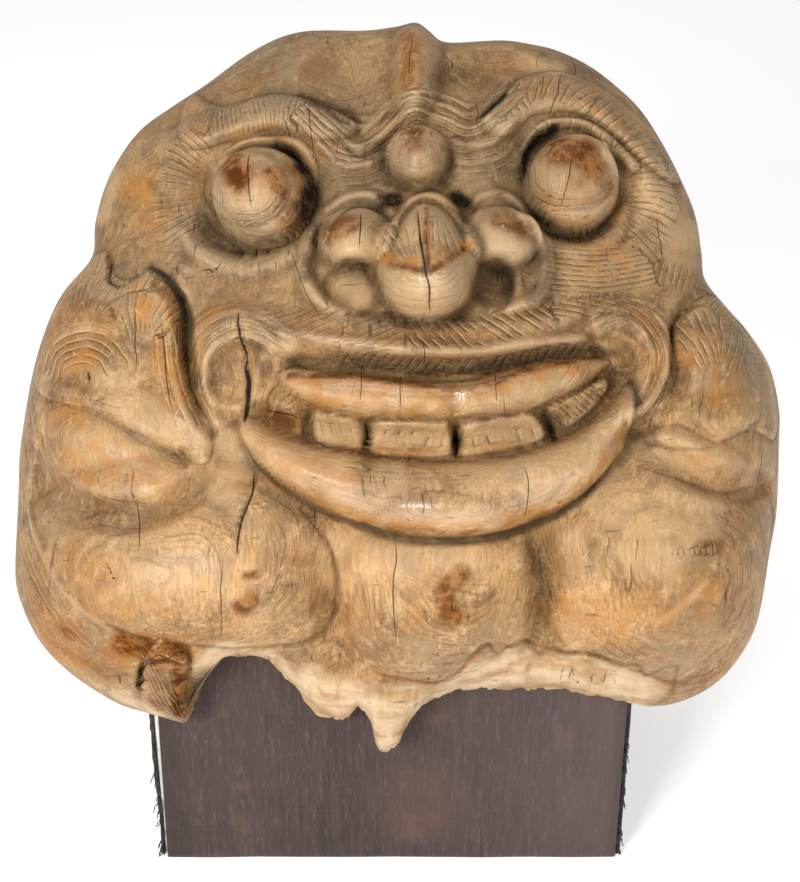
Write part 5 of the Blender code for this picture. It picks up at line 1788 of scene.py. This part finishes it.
@dataclass
class DisplayBlock:
    """The block under the mask: white core, brown front cloth and black side cloth."""

    threads: int = 90
    thread_steps: int = 5
    thread_radius: float = 0.00035
    shortest_thread: float = 0.003
    longest_thread: float = 0.008
    thread_inset: float = 0.0010
    thread_depth: float = 0.0022
    lowest_thread: float = 0.004
    bare_above: float = 0.09
    crowded_low: float = 1.8
    above_table: float = 0.0006
    cells_across: int = 60
    cells_up: int = 40
    side_cuts: int = 90
    flare: float = 0.0025
    wave: float = 0.0005
    corner: float = 0.0012
    cloth_gap: float = 0.0003
    rag: float = 0.0016
    fray: float = 0.0003
    sway: float = 0.0006
    seed: int = 5

    def front_cloth(self, finishes: Finishes) -> bpy.types.Object:
        """Cover the front board with cloth that is drawn tight over its edges."""
        low, high = corners_of("block_front_cloth")
        made = bmesh.new()
        bmesh.ops.create_grid(made, x_segments=self.cells_across, y_segments=self.cells_up,
                              size=0.5)
        size = high - low
        noise = RoughNoise(23)
        border = [edge for edge in made.edges if edge.is_boundary]
        ring = bmesh.ops.extrude_edge_only(made, edges=border)["geom"]
        rim = set(only(ring, bmesh.types.BMVert))
        spots = np.array([vertex.co[:2] for vertex in made.verts])
        waves = self.wave * (noise.at(spots[:, 0] * 0.3, spots[:, 1] * 0.2, 0.03) + 1)
        for vertex, wave in zip(made.verts, waves):
            x = low.x + (vertex.co.x + 0.5) * size.x
            x -= self.flare * max(0.0, -2 * vertex.co.x) * (0.5 - vertex.co.y)
            z = low.z + (vertex.co.y + 0.5) * size.z
            y = high.y if vertex in rim else low.y + wave
            vertex.co = (x, y, z)
        bmesh.ops.edgeloop_fill(made, edges=[edge for edge in made.edges if edge.is_boundary])
        bmesh.ops.recalc_face_normals(made, faces=made.faces)
        corners = [edge for edge in made.edges
                   if len(edge.link_faces) == 2 and edge.calc_face_angle() > 0.8]
        bmesh.ops.bevel(made, geom=corners, offset=self.corner, segments=2, profile=0.5,
                        affect="EDGES", material=-1)
        cloth = object_of("front_cloth", made)
        brown = WovenCloth("brown_cloth", (0.020, 0.011, 0.009), (0.058, 0.032, 0.026),
                           (0.115, 0.055, 0.036), (0.120, 0.090, 0.078), fade=0.45,
                           half_wide=size.x / 2)
        cloth.data.materials.append(brown.build(finishes))
        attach(cloth, "root")
        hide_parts("block_front_cloth")
        LOG.info("front_cloth: %.3f by %.3f m", size.x, size.z)
        return cloth

    def side_cloth(self, finishes: Finishes) -> bpy.types.Object:
        """Wrap black cloth round the sides and the back, with ragged front edges."""
        low, high = corners_of("block_side_cloth")
        core_low, core_high = corners_of("block_core")
        gap = self.cloth_gap
        inner = ((core_low.x - gap, low.y), (core_low.x - gap, core_high.y + gap),
                 (core_high.x + gap, core_high.y + gap), (core_high.x + gap, low.y))
        outer = ((high.x, low.y), (high.x, high.y), (low.x, high.y), (low.x, low.y))
        made = bmesh.new()
        corners = [made.verts.new((x, y, low.z)) for x, y in inner + outer]
        made.faces.new(corners)
        raised = bmesh.ops.extrude_face_region(made, geom=made.faces[:])["geom"]
        bmesh.ops.translate(made, vec=(0, 0, high.z - low.z),
                            verts=only(raised, bmesh.types.BMVert))
        upright = [edge for edge in made.edges
                   if abs(edge.verts[0].co.z - edge.verts[1].co.z) > 0.01]
        bmesh.ops.subdivide_edges(made, edges=upright, cuts=self.side_cuts,
                                  use_grid_fill=True)
        noise = RoughNoise(31)
        for vertex in made.verts:
            if vertex.co.y < low.y + 0.0005:
                ragged = noise.at(np.array([vertex.co.z]), np.array([vertex.co.x]), 0.005)[0]
                wavy = noise.at(np.array([vertex.co.z]), np.array([vertex.co.x + 0.1]), 0.014)[0]
                vertex.co.y += self.rag * (1 + ragged)
                vertex.co.x += self.fray * ragged + self.sway * wavy
        bmesh.ops.recalc_face_normals(made, faces=made.faces)
        cloth = object_of("side_cloth", made)
        cloth.data.set_sharp_from_angle(angle=math.radians(40))
        black = WovenCloth("black_cloth", (0.006, 0.005, 0.006), (0.028, 0.024, 0.026),
                           (0.040, 0.034, 0.032), (0.050, 0.045, 0.044), fade=0.3)
        cloth.data.materials.append(black.build(finishes))
        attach(cloth, "root")
        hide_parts("block_side_cloth")
        self.loose_threads(low, high, cloth.data.materials[0])
        return cloth

    def loose_threads(self, low: Vector, high: Vector,
                      material: bpy.types.Material) -> bpy.types.Object:
        """Make the short frayed threads along both front edges of the side cloth."""
        random = np.random.default_rng(self.seed)
        made = bmesh.new()
        for index in range(self.threads):
            left = index % 2 == 0
            x = low.x + self.thread_inset if left else high.x - self.thread_inset
            z = random.uniform(0.0, 1.0) ** self.crowded_low
            z = self.lowest_thread + (high.z - self.bare_above) * z
            way = Vector((random.uniform(-1.0, 1.0) * 0.4, -0.6, random.uniform(-0.8, 0.4)))
            length = random.uniform(self.shortest_thread, self.longest_thread)
            ring = bmesh.ops.create_circle(made, segments=5, radius=self.thread_radius)["verts"]
            turn = Vector((0, 0, 1)).rotation_difference(way).to_matrix().to_4x4()
            place = Matrix.Translation((x, low.y + self.thread_depth, z)) @ turn
            bmesh.ops.transform(made, matrix=place, verts=ring)
            loop = list({edge for vertex in ring for edge in vertex.link_edges})
            bmesh.ops.contextual_create(made, geom=loop)
            for step in range(self.thread_steps):
                grown = bmesh.ops.extrude_edge_only(made, edges=loop)["geom"]
                moved = only(grown, bmesh.types.BMVert)
                loop = [edge for edge in only(grown, bmesh.types.BMEdge)
                        if edge.verts[0] in moved and edge.verts[1] in moved]
                curl = Vector((random.uniform(-0.3, 0.3), 0.0, -0.25 * step))
                bmesh.ops.translate(made, vec=(way + curl) * length / self.thread_steps,
                                    verts=moved)
            bmesh.ops.contextual_create(made, geom=loop)
        for vertex in made.verts:
            vertex.co.z = max(vertex.co.z, self.above_table)
        bmesh.ops.recalc_face_normals(made, faces=made.faces)
        threads = object_of("loose_threads", made)
        threads.data.materials.append(material)
        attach(threads, "root")
        return threads

    def build(self, finishes: Finishes) -> None:
        """Build the block's cloths and finish its core."""
        self.front_cloth(finishes)
        self.side_cloth(finishes)
        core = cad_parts["block_core"]
        core.data.materials.clear()
        core.data.materials.append(PlainBoard().build(finishes))
        LOG.info("block_core: finished as white board")


@dataclass
class Studio:
    """The floor, the soft lights and the camera."""

    sizes: Sizes
    back: float
    sensor: float = 36.0
    glow: float = 0.42
    floor_half: float = 6.0
    floor_down: float = 0.0006
    lamps: tuple = (
        ("key", (-0.75, -1.45, 1.05), 0.55, 31.0),
        ("fill", (1.3, -1.3, 0.9), 1.2, 12.0),
        ("top", (-0.2, 0.2, 1.9), 1.2, 9.0),
    )

    def floor(self) -> None:
        """Lay a plain pale floor just under the table plane."""
        made = bmesh.new()
        bmesh.ops.create_grid(made, x_segments=4, y_segments=4, size=self.floor_half)
        bmesh.ops.translate(made, vec=(0, 0, -self.floor_down), verts=made.verts)
        floor = object_of("floor", made)
        material, _, shader = new_material("pale_floor")
        for name, value in (
            ("Base Color", (0.86, 0.86, 0.86, 1.0)), ("Roughness", 0.9),
            ("Emission Color", (1.0, 1.0, 1.0, 1.0)), ("Emission Strength", self.glow),
        ):
            shader.inputs[name].default_value = value
        floor.data.materials.append(material)

    def lamp(self, name: str, place: tuple, size: float, power: float) -> None:
        """Hang a square soft light that looks at the middle of the face."""
        light = bpy.data.lights.new(name, "AREA")
        light.size = size
        light.energy = power
        lamp = bpy.data.objects.new(name, light)
        lamp.location = place
        way = Vector((0.0, 0.0, self.sizes.above_table)) - Vector(place)
        lamp.rotation_euler = way.to_track_quat("-Z", "Y").to_euler()
        bpy.context.scene.collection.objects.link(lamp)

    def camera(self) -> None:
        """Look straight at the leaning face, from the front view's distance."""
        size = self.sizes
        out = Vector((0.0, -math.cos(size.lean), math.sin(size.lean)))
        place = Vector((0.0, self.back, size.above_table)) + out * size.view_distance
        data = bpy.data.cameras.new("camera")
        data.sensor_width = self.sensor
        data.lens = self.sensor * size.view_distance / (size.view_tall * size.view_pixel)
        data.clip_start = 0.05
        data.clip_end = 60.0
        camera = bpy.data.objects.new("camera", data)
        camera.location = place
        camera.rotation_euler = (-out).to_track_quat("-Z", "Y").to_euler()
        bpy.context.scene.collection.objects.link(camera)
        bpy.context.scene.camera = camera

    def build(self) -> None:
        """Set up everything round the object."""
        self.floor()
        self.camera()
        for row in self.lamps:
            self.lamp(*row)
        world = bpy.data.worlds.new("soft_room")
        world.use_nodes = True
        background = world.node_tree.nodes["Background"]
        background.inputs["Color"].default_value = (1.0, 1.0, 1.0, 1.0)
        background.inputs["Strength"].default_value = self.glow
        bpy.context.scene.world = world
        bpy.context.scene.view_settings.view_transform = "Standard"
        LOG.info("studio: floor, %d lights and camera", len(self.lamps))


def main() -> None:
    """Build the mask, its block and the studio in order."""
    logging.basicConfig(level=logging.INFO, format="%(name)s %(message)s")
    finishes = Finishes()
    mask = CarvedMask()
    mask.build(finishes)
    DisplayBlock().build(finishes)
    Studio(mask.sizes, mask.back).build()


if __name__ == "__main__":
    main()
